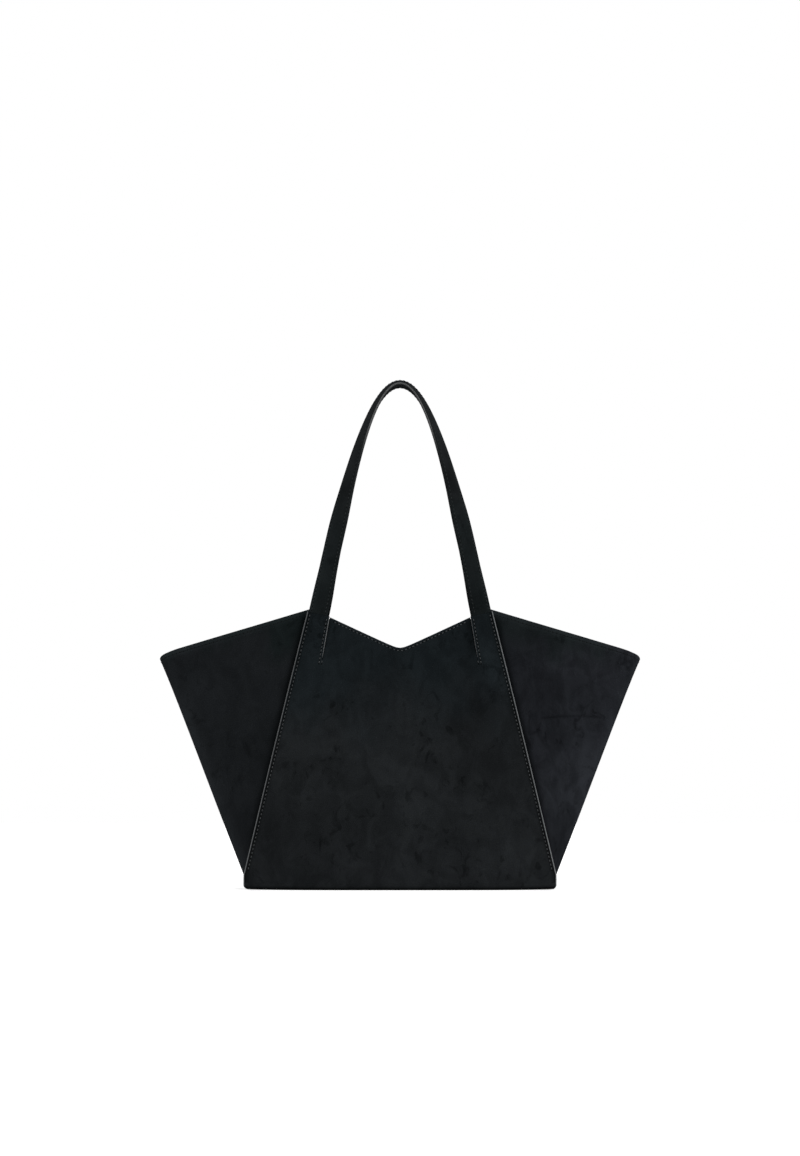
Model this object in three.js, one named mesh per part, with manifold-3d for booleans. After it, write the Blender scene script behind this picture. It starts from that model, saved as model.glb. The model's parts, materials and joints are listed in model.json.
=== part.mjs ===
// A black suede tote bag. Two panels turn under the base and meet in a seam beneath it, two gussets are
// folded outwards into wings, and two strap handles twist nearly a quarter turn on their way up.
// Millimetres, +Z up. The front faces -Y, and the origin is the middle of the base, on the ground.

import * as THREE from 'three';
import { mergeVertices } from 'three/addons/utils/BufferGeometryUtils.js';
import Module from 'manifold-3d';

// Driving dimensions of the body
const BASE_WIDTH = 312; // side to side along the bottom edge of a panel
const BASE_DEPTH = 140; // front to back along the ground
const BODY_HEIGHT = 281; // ground to the joint between tab and strap
const MOUTH_DEPTH = 90; // front to back at that joint
const TOP_WIDTH = 185; // cut edge to cut edge of a panel at that joint
const SKIRT_HEIGHT = 14; // plumb stretch at the foot of a panel's cut edges
const CORNER_RADIUS = 3; // bottom corners of a panel
const BEND_RADIUS = 6; // where a panel turns under the base
const NOTCH_DROP = 41; // joint height to the sharp bottom of the V
const NOTCH_SHOULDER_DROP = 8; // joint height to the upper ends of the V
const NOTCH_RADIUS = 18; // rounded bottom of the V
const SLIT_LENGTH = 43; // slit between a tab and the V
const SLIT_WIDTH = 0.8;
const SLIT_TILT = 9.6; // degrees from upright
const TAB_MARGIN = 1.4; // tab beyond its strap, on the side of the cut edge
const SLIT_MARGIN = 2; // tab beyond its strap, on the side of the slit

// Driving dimensions of the wings
const WING_SPAN = 486; // fold to fold at the top
const WING_HEIGHT = 236; // ground to the top of the fold
const FOLD_RADIUS = 8;
const FOLD_BULGE = 0.6; // how far the fold stands outside the seams at the base
const SEAM_INSET = 2.5; // gusset bend to the cut edge that laps over it
const SEAM_FLANGE = 9; // margin of the gusset that is sewn behind a panel
const HEM_WIDTH = 9; // margin of the gusset that is turned under the base board

// Driving dimensions of the handles
const STRAP_WIDTH = 19.2;
const STRAP_TILT = 12.2; // degrees from upright where a strap leaves its tab
const HANDLE_RISE = 231; // joint height to the middle of the crown
const ROOT_ARM = 118; // how far a strap keeps the direction of its tab
const CROWN_ARM = 33; // how far the crown keeps level, to each side
const CROWN_GAP = 1; // between the edges of the two handles at the crown
const STRAP_TWIST = 81; // degrees from tab to crown, so that the two crowns form a low roof
const TWIST_EASE = 1.38; // over 1, the strap turns more near its tab than near the crown

// Driving dimensions of the inside
const FACING_DEPTH = 35; // bottom of the V to the lower edge of the facings
const FACING_TUCK = 3; // joint to the upper edge of the facing behind a tab
const STRAP_LAP = 3; // strap end below the slit
const POCKET_WIDTH = 150;
const POCKET_HEIGHT = 115;
const POCKET_DROP = 10; // lower edge of the facing to the pocket's mouth

// Sheet thicknesses and the clearance between sheets that lie on each other
const SUEDE = 1.4;
const STRAP_LAYER = 1.3;
const INTERLINING = 1.4;
const FACING = 1;
const LINING = 0.7;
const BOARD = 2.2;
const CLEARANCE = 0.3;

// Colours of the sheets, and how matt they are
const SUEDE_BLACK = { color: 0x1c1e1f, roughness: 0.95 };
const STRAP_BLACK = { color: 0x191b1c, roughness: 0.9 };
const FACING_BLACK = { color: 0x202122, roughness: 0.9 };
const COTTON_BLACK = { color: 0x18191b, roughness: 0.85 };
const BOARD_GREY = { color: 0x6b655c, roughness: 0.85 };
const FELT_GREY = { color: 0x4a4a4a, roughness: 0.9 };

// How finely round stretches are stepped
const ARC_STEPS = 6;
const GUSSET_COLUMNS = 3;
const GUSSET_ROWS = 4;
const LIMB_STEPS = 22;

// Places that follow from the dimensions
const LEAN_SLOPE = (BASE_DEPTH - MOUTH_DEPTH) / 2 / BODY_HEIGHT;
const LEAN = Math.atan(LEAN_SLOPE);
const EDGE_SLOPE = (BASE_WIDTH - TOP_WIDTH) / 2 / (BODY_HEIGHT - SKIRT_HEIGHT);
const STRAP_SLOPE = Math.tan(THREE.MathUtils.degToRad(STRAP_TILT));
const SLIT_SLOPE = Math.tan(THREE.MathUtils.degToRad(SLIT_TILT));
const STRAP_ACROSS = STRAP_WIDTH * Math.hypot(1, STRAP_SLOPE);
const STRAP_ROOT = TOP_WIDTH / 2 - TAB_MARGIN - STRAP_ACROSS / 2;
const STRAP_THICKNESS = 2 * STRAP_LAYER + CLEARANCE;
const SHOULDER = BODY_HEIGHT - NOTCH_SHOULDER_DROP;
const SLIT_END = SHOULDER - SLIT_LENGTH;
const VALLEY = BODY_HEIGHT - NOTCH_DROP;
const FACING_EDGE = VALLEY - FACING_DEPTH;

// Offsets of the layers, counted inwards from a panel's outer face
const SECOND_LAYER = SUEDE + CLEARANCE;
const THIRD_LAYER = SECOND_LAYER + Math.max(SUEDE, STRAP_LAYER, INTERLINING) + CLEARANCE;
const POCKET_LAYER = THIRD_LAYER + LINING + CLEARANCE;
const BASE_LINING_LEVEL = SECOND_LAYER + Math.max(SUEDE, BOARD) + CLEARANCE;
const LINING_FOOT = BASE_LINING_LEVEL + LINING + CLEARANCE;
const LINING_INSET = SEAM_INSET + SUEDE + CLEARANCE;
const LINING_START = THIRD_LAYER + FACING + CLEARANCE - SECOND_LAYER;

const wasm = await Module();
wasm.setup();

// Turns a closed geometry into a solid that can be joined and cut.
function toSolid(geometry) {
  geometry.deleteAttribute('normal');
  geometry.deleteAttribute('uv');
  const merged = mergeVertices(geometry);
  const vertProperties = new Float32Array(merged.attributes.position.array);
  const triVerts = new Uint32Array(merged.index.array);
  return new wasm.Manifold(new wasm.Mesh({ numProp: 3, vertProperties, triVerts }));
}

// Turns a joined or cut solid back into a geometry.
function toGeometry(solid) {
  const { vertProperties, triVerts } = solid.getMesh();
  const geometry = new THREE.BufferGeometry();
  geometry.setAttribute('position', new THREE.BufferAttribute(vertProperties, 3));
  geometry.setIndex(new THREE.BufferAttribute(triVerts, 1));
  geometry.computeVertexNormals();
  return geometry;
}

// Half the width of a panel at a height, out to its cut edge.
function edgeAt(z) {
  return BASE_WIDTH / 2 - EDGE_SLOPE * Math.max(0, z - SKIRT_HEIGHT);
}

// Half the depth of the body at a height, less a layer's offset from the outer face.
function depthAt(z, offset) {
  return BASE_DEPTH / 2 - LEAN_SLOPE * z - offset / Math.cos(LEAN);
}

// Where the slit beside a tab lies at a height.
function slitAt(z) {
  return STRAP_ROOT - STRAP_ACROSS / 2 - SLIT_MARGIN + SLIT_SLOPE * (BODY_HEIGHT - z);
}

// The crossing of the joint line, lowered by a drop, with the line through two heights of a side.
function jointCrossing(sideAt, drop) {
  const low = sideAt(SHOULDER);
  const slope = (sideAt(BODY_HEIGHT) - low) / (BODY_HEIGHT - SHOULDER);
  const jointAtRoot = BODY_HEIGHT - drop - STRAP_SLOPE * STRAP_ROOT;
  const z = (jointAtRoot + STRAP_SLOPE * (low - slope * SHOULDER)) / (1 - STRAP_SLOPE * slope);
  return [low + slope * (z - SHOULDER), z];
}

// A closed outline through corners given as x, y and an optional rounding radius.
function roundedOutline(corners) {
  const outline = new THREE.Shape();
  corners.forEach(([x, y, radius = 0], i) => {
    const corner = new THREE.Vector2(x, y);
    const [backX, backY] = corners.at(i - 1);
    const [onX, onY] = corners[(i + 1) % corners.length];
    const back = new THREE.Vector2(backX, backY).sub(corner).normalize();
    const on = new THREE.Vector2(onX, onY).sub(corner).normalize();
    const half = Math.acos(back.dot(on)) / 2;
    const from = corner.clone().addScaledVector(back, radius / Math.tan(half));
    const to = corner.clone().addScaledVector(on, radius / Math.tan(half));
    if (i === 0) outline.moveTo(from.x, from.y);
    else outline.lineTo(from.x, from.y);
    if (radius > 0) {
      const bisector = back.clone().add(on).normalize();
      const centre = corner.clone().addScaledVector(bisector, radius / Math.sin(half));
      const start = from.sub(centre).angle();
      const end = to.sub(centre).angle();
      outline.absarc(centre.x, centre.y, radius, start, end, back.cross(on) > 0);
    }
  });
  outline.closePath();
  return outline;
}

// Corners of the right half of an outline, from the bottom up to the middle, with the left half added.
function mirrored(rightHalf) {
  const leftHalf = rightHalf
    .filter(([x]) => x > 0)
    .reverse()
    .map(([x, z, radius]) => [-x, z, radius]);
  return roundedOutline([...rightHalf, ...leftHalf]);
}

// A front-view outline run through the front half of the bag, up to the seam beneath the base.
function frontPrism(outline) {
  const run = { depth: BASE_DEPTH, bevelEnabled: false, curveSegments: ARC_STEPS };
  const geometry = new THREE.ExtrudeGeometry(outline, run);
  geometry.rotateX(Math.PI / 2);
  geometry.translate(0, -CLEARANCE / 2, 0);
  return toSolid(geometry);
}

// Everything inside the body's outer face moved in by an offset, with its bottom edges rounded.
function bodyCore(offset) {
  const top = BODY_HEIGHT + STRAP_WIDTH + offset;
  const radius = Math.max(BEND_RADIUS - offset, CLEARANCE);
  const rim = depthAt(top, offset);
  const foot = depthAt(offset, offset);
  const outline = roundedOutline([
    [-foot, offset, radius],
    [foot, offset, radius],
    [rim, top],
    [-rim, top],
  ]);
  const run = { depth: 2 * WING_SPAN, bevelEnabled: false, curveSegments: ARC_STEPS };
  const geometry = new THREE.ExtrudeGeometry(outline, run);
  const across = new THREE.Vector3(0, 1, 0);
  const up = new THREE.Vector3(0, 0, 1);
  const along = new THREE.Vector3(1, 0, 0);
  geometry.applyMatrix4(new THREE.Matrix4().makeBasis(across, up, along));
  geometry.translate(-WING_SPAN, 0, 0);
  return toSolid(geometry);
}

// A sheet that follows the front of the body at an offset, cut to a front-view outline.
function bodySheet(offset, thickness, outline) {
  const shell = bodyCore(offset).subtract(bodyCore(offset + thickness));
  return toGeometry(shell.intersect(frontPrism(outline)));
}

// A closed sheet between an outer and an inner grid of points, both given row by row.
function sheetBetween(outer, inner) {
  const rows = outer.length;
  const columns = outer[0].length;
  const positions = [...outer, ...inner].flat(2);
  const index = [];
  const at = (side, row, column) => side * rows * columns + row * columns + column;
  const quad = (a, b, c, d) => index.push(a, b, c, a, c, d);
  for (let row = 0; row + 1 < rows; row += 1) {
    for (let column = 0; column + 1 < columns; column += 1) {
      quad(at(0, row, column), at(0, row, column + 1), at(0, row + 1, column + 1), at(0, row + 1, column));
      quad(at(1, row, column), at(1, row + 1, column), at(1, row + 1, column + 1), at(1, row, column + 1));
    }
    const last = columns - 1;
    quad(at(0, row, 0), at(0, row + 1, 0), at(1, row + 1, 0), at(1, row, 0));
    quad(at(0, row, last), at(1, row, last), at(1, row + 1, last), at(0, row + 1, last));
  }
  for (let column = 0; column + 1 < columns; column += 1) {
    const top = rows - 1;
    quad(at(0, 0, column), at(1, 0, column), at(1, 0, column + 1), at(0, 0, column + 1));
    quad(at(0, top, column), at(0, top, column + 1), at(1, top, column + 1), at(1, top, column));
  }
  const geometry = new THREE.BufferGeometry();
  geometry.setAttribute('position', new THREE.Float32BufferAttribute(positions, 3));
  geometry.setIndex(index);
  geometry.computeVertexNormals();
  return geometry;
}

// A panel's outline: skirt, straight cut edges, tabs, slits and the V.
function panelOutline() {
  return mirrored([
    [BASE_WIDTH / 2, 0, CORNER_RADIUS],
    [BASE_WIDTH / 2, SKIRT_HEIGHT],
    jointCrossing(edgeAt, CLEARANCE),
    jointCrossing(slitAt, CLEARANCE),
    [slitAt(SLIT_END), SLIT_END],
    [slitAt(SLIT_END) - SLIT_WIDTH, SLIT_END],
    [slitAt(SHOULDER) - SLIT_WIDTH, SHOULDER],
    [0, VALLEY, NOTCH_RADIUS],
  ]);
}

// The outer limit of the linings and facings behind a panel.
function liningAt(z) {
  return edgeAt(z) - LINING_INSET;
}

function facingOutline() {
  return mirrored([
    [liningAt(FACING_EDGE), FACING_EDGE],
    jointCrossing(liningAt, FACING_TUCK),
    jointCrossing(slitAt, FACING_TUCK),
    [slitAt(SHOULDER), SHOULDER],
    [0, VALLEY, NOTCH_RADIUS],
  ]);
}

function liningOutline() {
  const top = FACING_EDGE - CLEARANCE;
  return mirrored([
    [liningAt(LINING_FOOT), LINING_FOOT],
    [liningAt(SKIRT_HEIGHT), SKIRT_HEIGHT],
    [liningAt(top), top],
  ]);
}

// The outer limit of what lies between the two gusset flanges behind a panel.
function betweenFlangesAt(z) {
  return edgeAt(z) - SEAM_INSET - SEAM_FLANGE - CLEARANCE;
}

function interliningOutline() {
  const foot = SKIRT_HEIGHT;
  const top = SLIT_END - STRAP_LAP - CLEARANCE;
  return mirrored([
    [betweenFlangesAt(foot), foot],
    [betweenFlangesAt(top), top],
  ]);
}

// The end of a strap behind its tab, between the slit and the gusset flange, on the right or the left.
function strapEndOutline(side) {
  const foot = SLIT_END - STRAP_LAP;
  const corners = [
    [slitAt(foot), foot],
    [betweenFlangesAt(foot), foot],
    jointCrossing(betweenFlangesAt, CLEARANCE),
    jointCrossing(slitAt, CLEARANCE),
  ];
  return roundedOutline(corners.map(([x, z]) => [side * x, z]));
}

function pocketOutline() {
  const top = FACING_EDGE - POCKET_DROP;
  return mirrored([
    [POCKET_WIDTH / 2, top - POCKET_HEIGHT, CORNER_RADIUS],
    [POCKET_WIDTH / 2, top],
  ]);
}

// The bend of the right gusset behind the front panel's edge, at a share of the gusset's height.
function gussetBend(share) {
  const top = BODY_HEIGHT - 2 * CLEARANCE;
  const z = THREE.MathUtils.lerp(SECOND_LAYER, top, share);
  return new THREE.Vector3(edgeAt(z) - SEAM_INSET, -depthAt(z, SECOND_LAYER), z);
}

// The fold of the right gusset at the same share.
function gussetFold(share) {
  const foot = BASE_WIDTH / 2 - SEAM_INSET + FOLD_BULGE;
  const x = THREE.MathUtils.lerp(foot, WING_SPAN / 2, share);
  return new THREE.Vector3(x, 0, THREE.MathUtils.lerp(SECOND_LAYER, WING_HEIGHT, share));
}

// One row of points along the right gusset, from the front panel round the fold to the back panel, at an
// inset from its outer face. Height falls evenly along the row from the bend to the fold. The row starts
// with the sewn flange, or, for what lines the gusset, a short way after the bend.
function gussetRow(share, inset, hasFlange) {
  const bend = gussetBend(share);
  const fold = gussetFold(share);
  const centre = fold.x - FOLD_RADIUS;
  const reach = Math.hypot(centre - bend.x, bend.y);
  const heading = Math.atan2(-bend.y, centre - bend.x) - Math.asin(FOLD_RADIUS / reach);
  const straight = Math.sqrt(reach ** 2 - FOLD_RADIUS ** 2);
  const sweep = Math.PI / 2 - heading;
  const length = straight + FOLD_RADIUS * sweep;
  const heightAt = (run) => THREE.MathUtils.lerp(bend.z, fold.z, run / length);
  const onStraight = (run) => [
    bend.x + run * Math.cos(heading) - inset * Math.sin(heading),
    bend.y + run * Math.sin(heading) + inset * Math.cos(heading),
    heightAt(run),
  ];
  const front = [];
  if (hasFlange) {
    const mitre = inset * Math.tan(heading / 2);
    front.push([bend.x - SEAM_FLANGE, bend.y + inset, bend.z]);
    front.push([bend.x - mitre, bend.y + inset, bend.z]);
  }
  for (let column = 0; column < GUSSET_COLUMNS; column += 1) {
    front.push(onStraight(THREE.MathUtils.lerp(LINING_START, straight, column / GUSSET_COLUMNS)));
  }
  for (let step = 0; step < ARC_STEPS; step += 1) {
    const turned = (sweep * step) / ARC_STEPS;
    const angle = turned - sweep;
    const radius = FOLD_RADIUS - inset;
    const run = straight + FOLD_RADIUS * turned;
    front.push([centre + radius * Math.cos(angle), radius * Math.sin(angle), heightAt(run)]);
  }
  const back = front.map(([x, y, z]) => [x, -y, z]).reverse();
  return [...front, [fold.x - inset, 0, fold.z], ...back];
}

// The share of the gusset's height at which its bend or its fold reaches a height.
function shareAt(edge, z) {
  const foot = edge(0).z;
  return (z - foot) / (edge(1).z - foot);
}

// Evenly spread shares after one limit, up to the other.
function spread(from, to) {
  return Array.from({ length: GUSSET_ROWS }, (_, i) => {
    return THREE.MathUtils.lerp(from, to, (i + 1) / GUSSET_ROWS);
  });
}

// The sheets of a gusset have their rows at the same shares, so that they nest.
const SKIRT_SHARE = shareAt(gussetBend, SKIRT_HEIGHT);
const FACING_SHARE = shareAt(gussetBend, FACING_EDGE);
const LINING_FOOT_SHARE = shareAt(gussetFold, LINING_FOOT);
const LINING_TOP_SHARE = shareAt(gussetBend, FACING_EDGE - 2 * CLEARANCE);
const GUSSET_SHARES = [
  0,
  LINING_FOOT_SHARE,
  SKIRT_SHARE,
  ...spread(SKIRT_SHARE, LINING_TOP_SHARE),
  FACING_SHARE,
  ...spread(FACING_SHARE, 1),
].sort((a, b) => a - b);

// A sheet of the right gusset between two shares of its height.
function gussetSheet(inset, thickness, from, to, hasFlange) {
  const shares = GUSSET_SHARES.filter((share) => share >= from && share <= to);
  const outer = shares.map((share) => gussetRow(share, inset, hasFlange));
  const inner = shares.map((share) => gussetRow(share, inset + thickness, hasFlange));
  return sheetBetween(outer, inner);
}

// The right gusset with its sewn flanges and the hem that lies under the base board.
function gussetGeometry() {
  const wall = toSolid(gussetSheet(0, SUEDE, 0, 1, true));
  const hemOuter = BASE_WIDTH / 2 - SEAM_INSET - SUEDE / 4;
  const hem = new THREE.BoxGeometry(HEM_WIDTH, BASE_DEPTH - 2 * BEND_RADIUS, SUEDE);
  hem.translate(hemOuter - HEM_WIDTH / 2, 0, SECOND_LAYER + SUEDE / 2);
  const room = bodyCore(SECOND_LAYER - CLEARANCE / 4);
  return toGeometry(wall.add(toSolid(hem)).intersect(room));
}

// A flat sheet that lies on the base.
function baseSheet(width, depth, level, thickness) {
  const geometry = new THREE.BoxGeometry(width, depth, thickness);
  geometry.translate(0, 0, level + thickness / 2);
  return geometry;
}

// The left limb of the front handle's middle line, from the joint with the tab to the crown.
function handleLimb() {
  const root = new THREE.Vector3(-STRAP_ROOT, -MOUTH_DEPTH / 2 + STRAP_THICKNESS / 2, BODY_HEIGHT);
  const crown = new THREE.Vector3(0, -(STRAP_WIDTH + CROWN_GAP) / 2, BODY_HEIGHT + HANDLE_RISE);
  const rise = ROOT_ARM / Math.hypot(1, STRAP_SLOPE);
  const leanIn = ((crown.y - root.y) * rise) / HANDLE_RISE;
  const rootPull = root.clone().add(new THREE.Vector3(STRAP_SLOPE * rise, leanIn, rise));
  const crownPull = crown.clone().add(new THREE.Vector3(-CROWN_ARM, 0, 0));
  return new THREE.CubicBezierCurve3(root, rootPull, crownPull, crown);
}

// Two edge points of a strap layer at a share of the limb. The strap faces forwards at the joint and
// nearly upwards at the crown, where its inner edge has come to the front.
function strapEdges(limb, share, offset) {
  const middle = limb.getPointAt(share);
  const along = limb.getTangentAt(share);
  const outward = new THREE.Vector3(-along.z, 0, along.x).normalize();
  const forward = new THREE.Vector3().crossVectors(along, outward);
  const turn = THREE.MathUtils.degToRad(STRAP_TWIST) * (1 - (1 - share) ** TWIST_EASE);
  const face = forward.clone().multiplyScalar(Math.cos(turn)).addScaledVector(outward, Math.sin(turn));
  const width = outward.clone().multiplyScalar(Math.cos(turn)).addScaledVector(forward, -Math.sin(turn));
  const cut = new THREE.Vector3(along.x, 0, along.z);
  return [1, -1].map((edge) => {
    const point = middle.clone().addScaledVector(face, offset);
    point.addScaledVector(width, (edge * STRAP_WIDTH) / 2);
    if (share === 0) {
      const over = point.clone().sub(middle).dot(cut) / along.dot(cut);
      point.addScaledVector(along, -over);
    }
    return point.toArray();
  });
}

// One layer of the front handle, from the left joint over the crown to the right joint.
function handleLayer(innerOffset) {
  const limb = handleLimb();
  const grid = (offset) => {
    const left = [];
    for (let step = 0; step <= LIMB_STEPS; step += 1) {
      left.push(strapEdges(limb, step / LIMB_STEPS, offset));
    }
    const right = left.slice(0, -1).reverse();
    return [...left, ...right.map((edges) => edges.map(([x, y, z]) => [-x, y, z]))];
  };
  return sheetBetween(grid(innerOffset + STRAP_LAYER), grid(innerOffset));
}

// One named piece with its own material.
function piece(name, geometry, finish) {
  const mesh = new THREE.Mesh(geometry, new THREE.MeshStandardMaterial({ ...finish, metalness: 0 }));
  mesh.name = name;
  return mesh;
}

// The pieces that the front and the back of the bag have alike.
function halfBag(side, leftSide, rightSide) {
  const half = new THREE.Group();
  const strapEnd = (hand) => bodySheet(SECOND_LAYER, STRAP_LAYER, strapEndOutline(hand));
  half.add(
    piece(`${side}_panel`, bodySheet(0, SUEDE, panelOutline()), SUEDE_BLACK),
    piece(`${side}_interlining`, bodySheet(SECOND_LAYER, INTERLINING, interliningOutline()), FELT_GREY),
    piece(`${side}_facing`, bodySheet(THIRD_LAYER, FACING, facingOutline()), FACING_BLACK),
    piece(`${side}_lining`, bodySheet(THIRD_LAYER, LINING, liningOutline()), COTTON_BLACK),
    piece(`${side}_${leftSide}_strap_end`, strapEnd(-1), STRAP_BLACK),
    piece(`${side}_${rightSide}_strap_end`, strapEnd(1), STRAP_BLACK),
    piece(`${side}_handle_outer`, handleLayer(CLEARANCE / 2), STRAP_BLACK),
    piece(`${side}_handle_lining`, handleLayer(-CLEARANCE / 2 - STRAP_LAYER), STRAP_BLACK),
  );
  return half;
}

// The gusset of one side with its facing and lining.
function wing(side) {
  const group = new THREE.Group();
  const facing = gussetSheet(SECOND_LAYER, FACING, FACING_SHARE, 1, false);
  const lining = gussetSheet(SECOND_LAYER, LINING, LINING_FOOT_SHARE, LINING_TOP_SHARE, false);
  group.add(
    piece(`${side}_gusset`, gussetGeometry(), SUEDE_BLACK),
    piece(`${side}_facing`, facing, FACING_BLACK),
    piece(`${side}_lining`, lining, COTTON_BLACK),
  );
  return group;
}

// The board under the lining, between the gusset hems, and the lining on top of it.
function baseInside() {
  const group = new THREE.Group();
  const boardWidth = BASE_WIDTH - 2 * (SEAM_INSET + SUEDE / 4 + HEM_WIDTH + CLEARANCE);
  const boardDepth = BASE_DEPTH - 2 * (BEND_RADIUS + CLEARANCE);
  const liningWidth = BASE_WIDTH - 2 * LINING_INSET;
  const liningDepth = BASE_DEPTH - 2 * (THIRD_LAYER + 2 * CLEARANCE);
  const board = baseSheet(boardWidth, boardDepth, SECOND_LAYER, BOARD);
  const lining = baseSheet(liningWidth, liningDepth, BASE_LINING_LEVEL, LINING);
  group.add(
    piece('base_board', board, BOARD_GREY),
    piece('base_lining', lining, COTTON_BLACK),
  );
  return group;
}

const tote = new THREE.Group();
const front = halfBag('front', 'left', 'right');
const back = halfBag('back', 'right', 'left');
back.add(piece('slip_pocket', bodySheet(POCKET_LAYER, LINING, pocketOutline()), COTTON_BLACK));
back.rotation.z = Math.PI;
const rightWing = wing('right');
const leftWing = wing('left');
leftWing.rotation.z = Math.PI;
tote.add(front, back, rightWing, leftWing, baseInside());

export default tote;
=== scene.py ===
# %% [markdown]
# # A black suede tote bag with folded wings
#
# The frame that we load holds the bag's sizes and its two moving handles. On top of it we sew the
# bag that the eye sees: sheets of suede with cut edges, a lining, straps that twist, and thread.
# Every sheet starts as a grid of points that follows a few shared formulas, so that neighbours stay
# parallel. The grid is then given thickness and an edge.

import json
import math

import bpy
import numpy as np
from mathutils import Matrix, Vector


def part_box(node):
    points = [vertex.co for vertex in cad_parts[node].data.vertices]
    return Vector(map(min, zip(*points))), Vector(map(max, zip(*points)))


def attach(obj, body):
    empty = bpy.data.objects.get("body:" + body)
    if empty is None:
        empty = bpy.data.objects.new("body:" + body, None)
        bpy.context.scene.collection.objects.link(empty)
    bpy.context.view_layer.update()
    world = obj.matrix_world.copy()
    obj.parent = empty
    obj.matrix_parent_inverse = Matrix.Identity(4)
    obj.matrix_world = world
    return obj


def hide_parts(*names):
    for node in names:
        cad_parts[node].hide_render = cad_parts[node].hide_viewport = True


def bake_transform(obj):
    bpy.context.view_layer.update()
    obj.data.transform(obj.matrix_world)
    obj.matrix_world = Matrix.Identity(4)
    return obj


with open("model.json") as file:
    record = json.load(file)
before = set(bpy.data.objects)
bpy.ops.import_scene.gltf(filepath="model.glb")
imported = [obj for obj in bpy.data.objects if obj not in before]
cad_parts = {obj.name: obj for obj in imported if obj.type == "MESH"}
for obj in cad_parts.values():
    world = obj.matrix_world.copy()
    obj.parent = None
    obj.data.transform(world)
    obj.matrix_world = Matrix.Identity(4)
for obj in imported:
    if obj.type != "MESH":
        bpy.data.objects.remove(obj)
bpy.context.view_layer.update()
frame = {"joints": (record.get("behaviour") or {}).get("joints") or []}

# %% [markdown]
# ## Sizes
#
# We work in millimetres, because sheet thicknesses and stitches are easy to read that way, and change
# to metres when a mesh is made. The large sizes come from the frame, so that the look follows it. The
# smaller ones, such as the thickness of each sheet, are named here or where they are first needed.

# %% Sizes in millimetres
MM = 0.001
joint = frame["joints"][0]["pos_m"]

BASE_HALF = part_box("front_panel")[1].x / MM
JOINT = joint[2] / MM
MOUTH_HALF = abs(joint[1]) / MM
WING_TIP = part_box("right_gusset")[1].x / MM
CROWN_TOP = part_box("front_handle_outer")[1].z / MM

BASE_HALF_DEPTH = 70.0
TOP_HALF = 92.4
EDGE_SWELL = 0.8
STRAP_OUTER = 91.0
SKIRT = 14.0
CORNER = 3.0
BEND = 6.0
VALLEY = JOINT - 41.0
SHOULDER = JOINT - 8.0
SLIT_END = JOINT - 52.0
TAB_TOP = JOINT - 5.0
FACING_EDGE = JOINT - 75.0
WING_TOP = 235.7
FOLD_RADIUS = 8.0

SUEDE = 1.4
FACING = 1.0
LINING = 0.7
FELT = 1.4
BOARD = 2.2
STRAP_HALF = 9.6
STRAP_THICK = 2.9

LEAN_SLOPE = (BASE_HALF_DEPTH - MOUTH_HALF) / JOINT
LEAN_STRETCH = math.hypot(1, LEAN_SLOPE)
EDGE_SLOPE = (BASE_HALF - TOP_HALF) / (JOINT - SKIRT)
STRAP_SLOPE = math.tan(math.radians(12.2))
STRAP_ROOT = STRAP_OUTER - STRAP_HALF * math.hypot(1, STRAP_SLOPE)
SLIT_SLOPE = math.tan(math.radians(9.6))
SLIT_HALF = 70.6

print("base", 2 * BASE_HALF, "joint height", JOINT, "crown", round(CROWN_TOP, 1))

# %% [markdown]
# ## The formulas that all sheets share
#
# A bag like this is never quite flat. The front wall leans back, stands out a little in the middle,
# and the corners of the base curl up by a millimetre. One function for each of these keeps all the
# layers together: a lining that uses the same belly as its panel can't cut through it.

# %% Shared formulas
BELLY = 2.2
RIPPLE = 0.45
SINK = 1.5
SINK_REACH = 15.0
CURL = 1.2
CURL_HEIGHT = 90.0
VALLEY_ROUND = 2.2


def unit(vectors):
    return vectors / np.maximum(np.linalg.norm(vectors, axis=-1, keepdims=True), 1e-9)


def smooth(low, high, value):
    share = np.clip((value - low) / (high - low), 0, 1)
    return share * share * (3 - 2 * share)


def edge_at(z):
    """Half width between the cut edges of a panel, with the rounded corners at the foot."""
    dip = CORNER - np.sqrt(np.maximum(CORNER**2 - np.maximum(CORNER - z, 0) ** 2, 0))
    swell = EDGE_SWELL * np.sin(np.pi * np.clip(z / JOINT, 0, 1))
    return BASE_HALF - EDGE_SLOPE * np.maximum(0, z - SKIRT) + swell - dip


def slit_at(z):
    """Half width between the slits, which starts at SLIT_HALF beside the ends of the V."""
    return SLIT_HALF + SLIT_SLOPE * (SHOULDER - z)


def notch_at(x):
    """Height of the V between the straps, rounded at its bottom."""
    slope = (SHOULDER - VALLEY) / slit_at(SHOULDER)
    return VALLEY + np.sqrt((slope * x) ** 2 + VALLEY_ROUND**2)


def depth_at(z, inset=0.0):
    return BASE_HALF_DEPTH - LEAN_SLOPE * z - inset * LEAN_STRETCH


def give(x, z):
    """How far the front wall stands out of its plane."""
    across = np.clip(1 - (x / edge_at(z)) ** 2, 0, 1)
    up = np.sin(np.pi * np.clip(z / JOINT, 0, 1))
    ripple = np.sin(x / 26 + z / 58 + 0.7) * np.sin(z / 33 - x / 95) + 0.5 * np.sin(x / 11 - z / 47)
    return across * up * (BELLY + RIPPLE * ripple)


def sink(x, z):
    """How far the middle of the mouth has sunk behind the tabs, next to the slits."""
    near = np.exp(-(((slit_at(z) - np.abs(x)) / SINK_REACH) ** 2))
    return SINK * near * smooth(SLIT_END, SLIT_END + 20, z)


def front_y(x, z, inset=0.0, sunk=True):
    return -depth_at(z, inset) - give(x, z) + (sink(x, z) if sunk else 0)


def front_normal(x, z, sunk):
    step = 0.5
    across = front_y(x + step, z, 0, sunk) - front_y(x - step, z, 0, sunk)
    up = front_y(x, z + step, 0, sunk) - front_y(x, z - step, 0, sunk)
    return unit(np.stack([across, np.full_like(across, -2 * step), up], -1))


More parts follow.
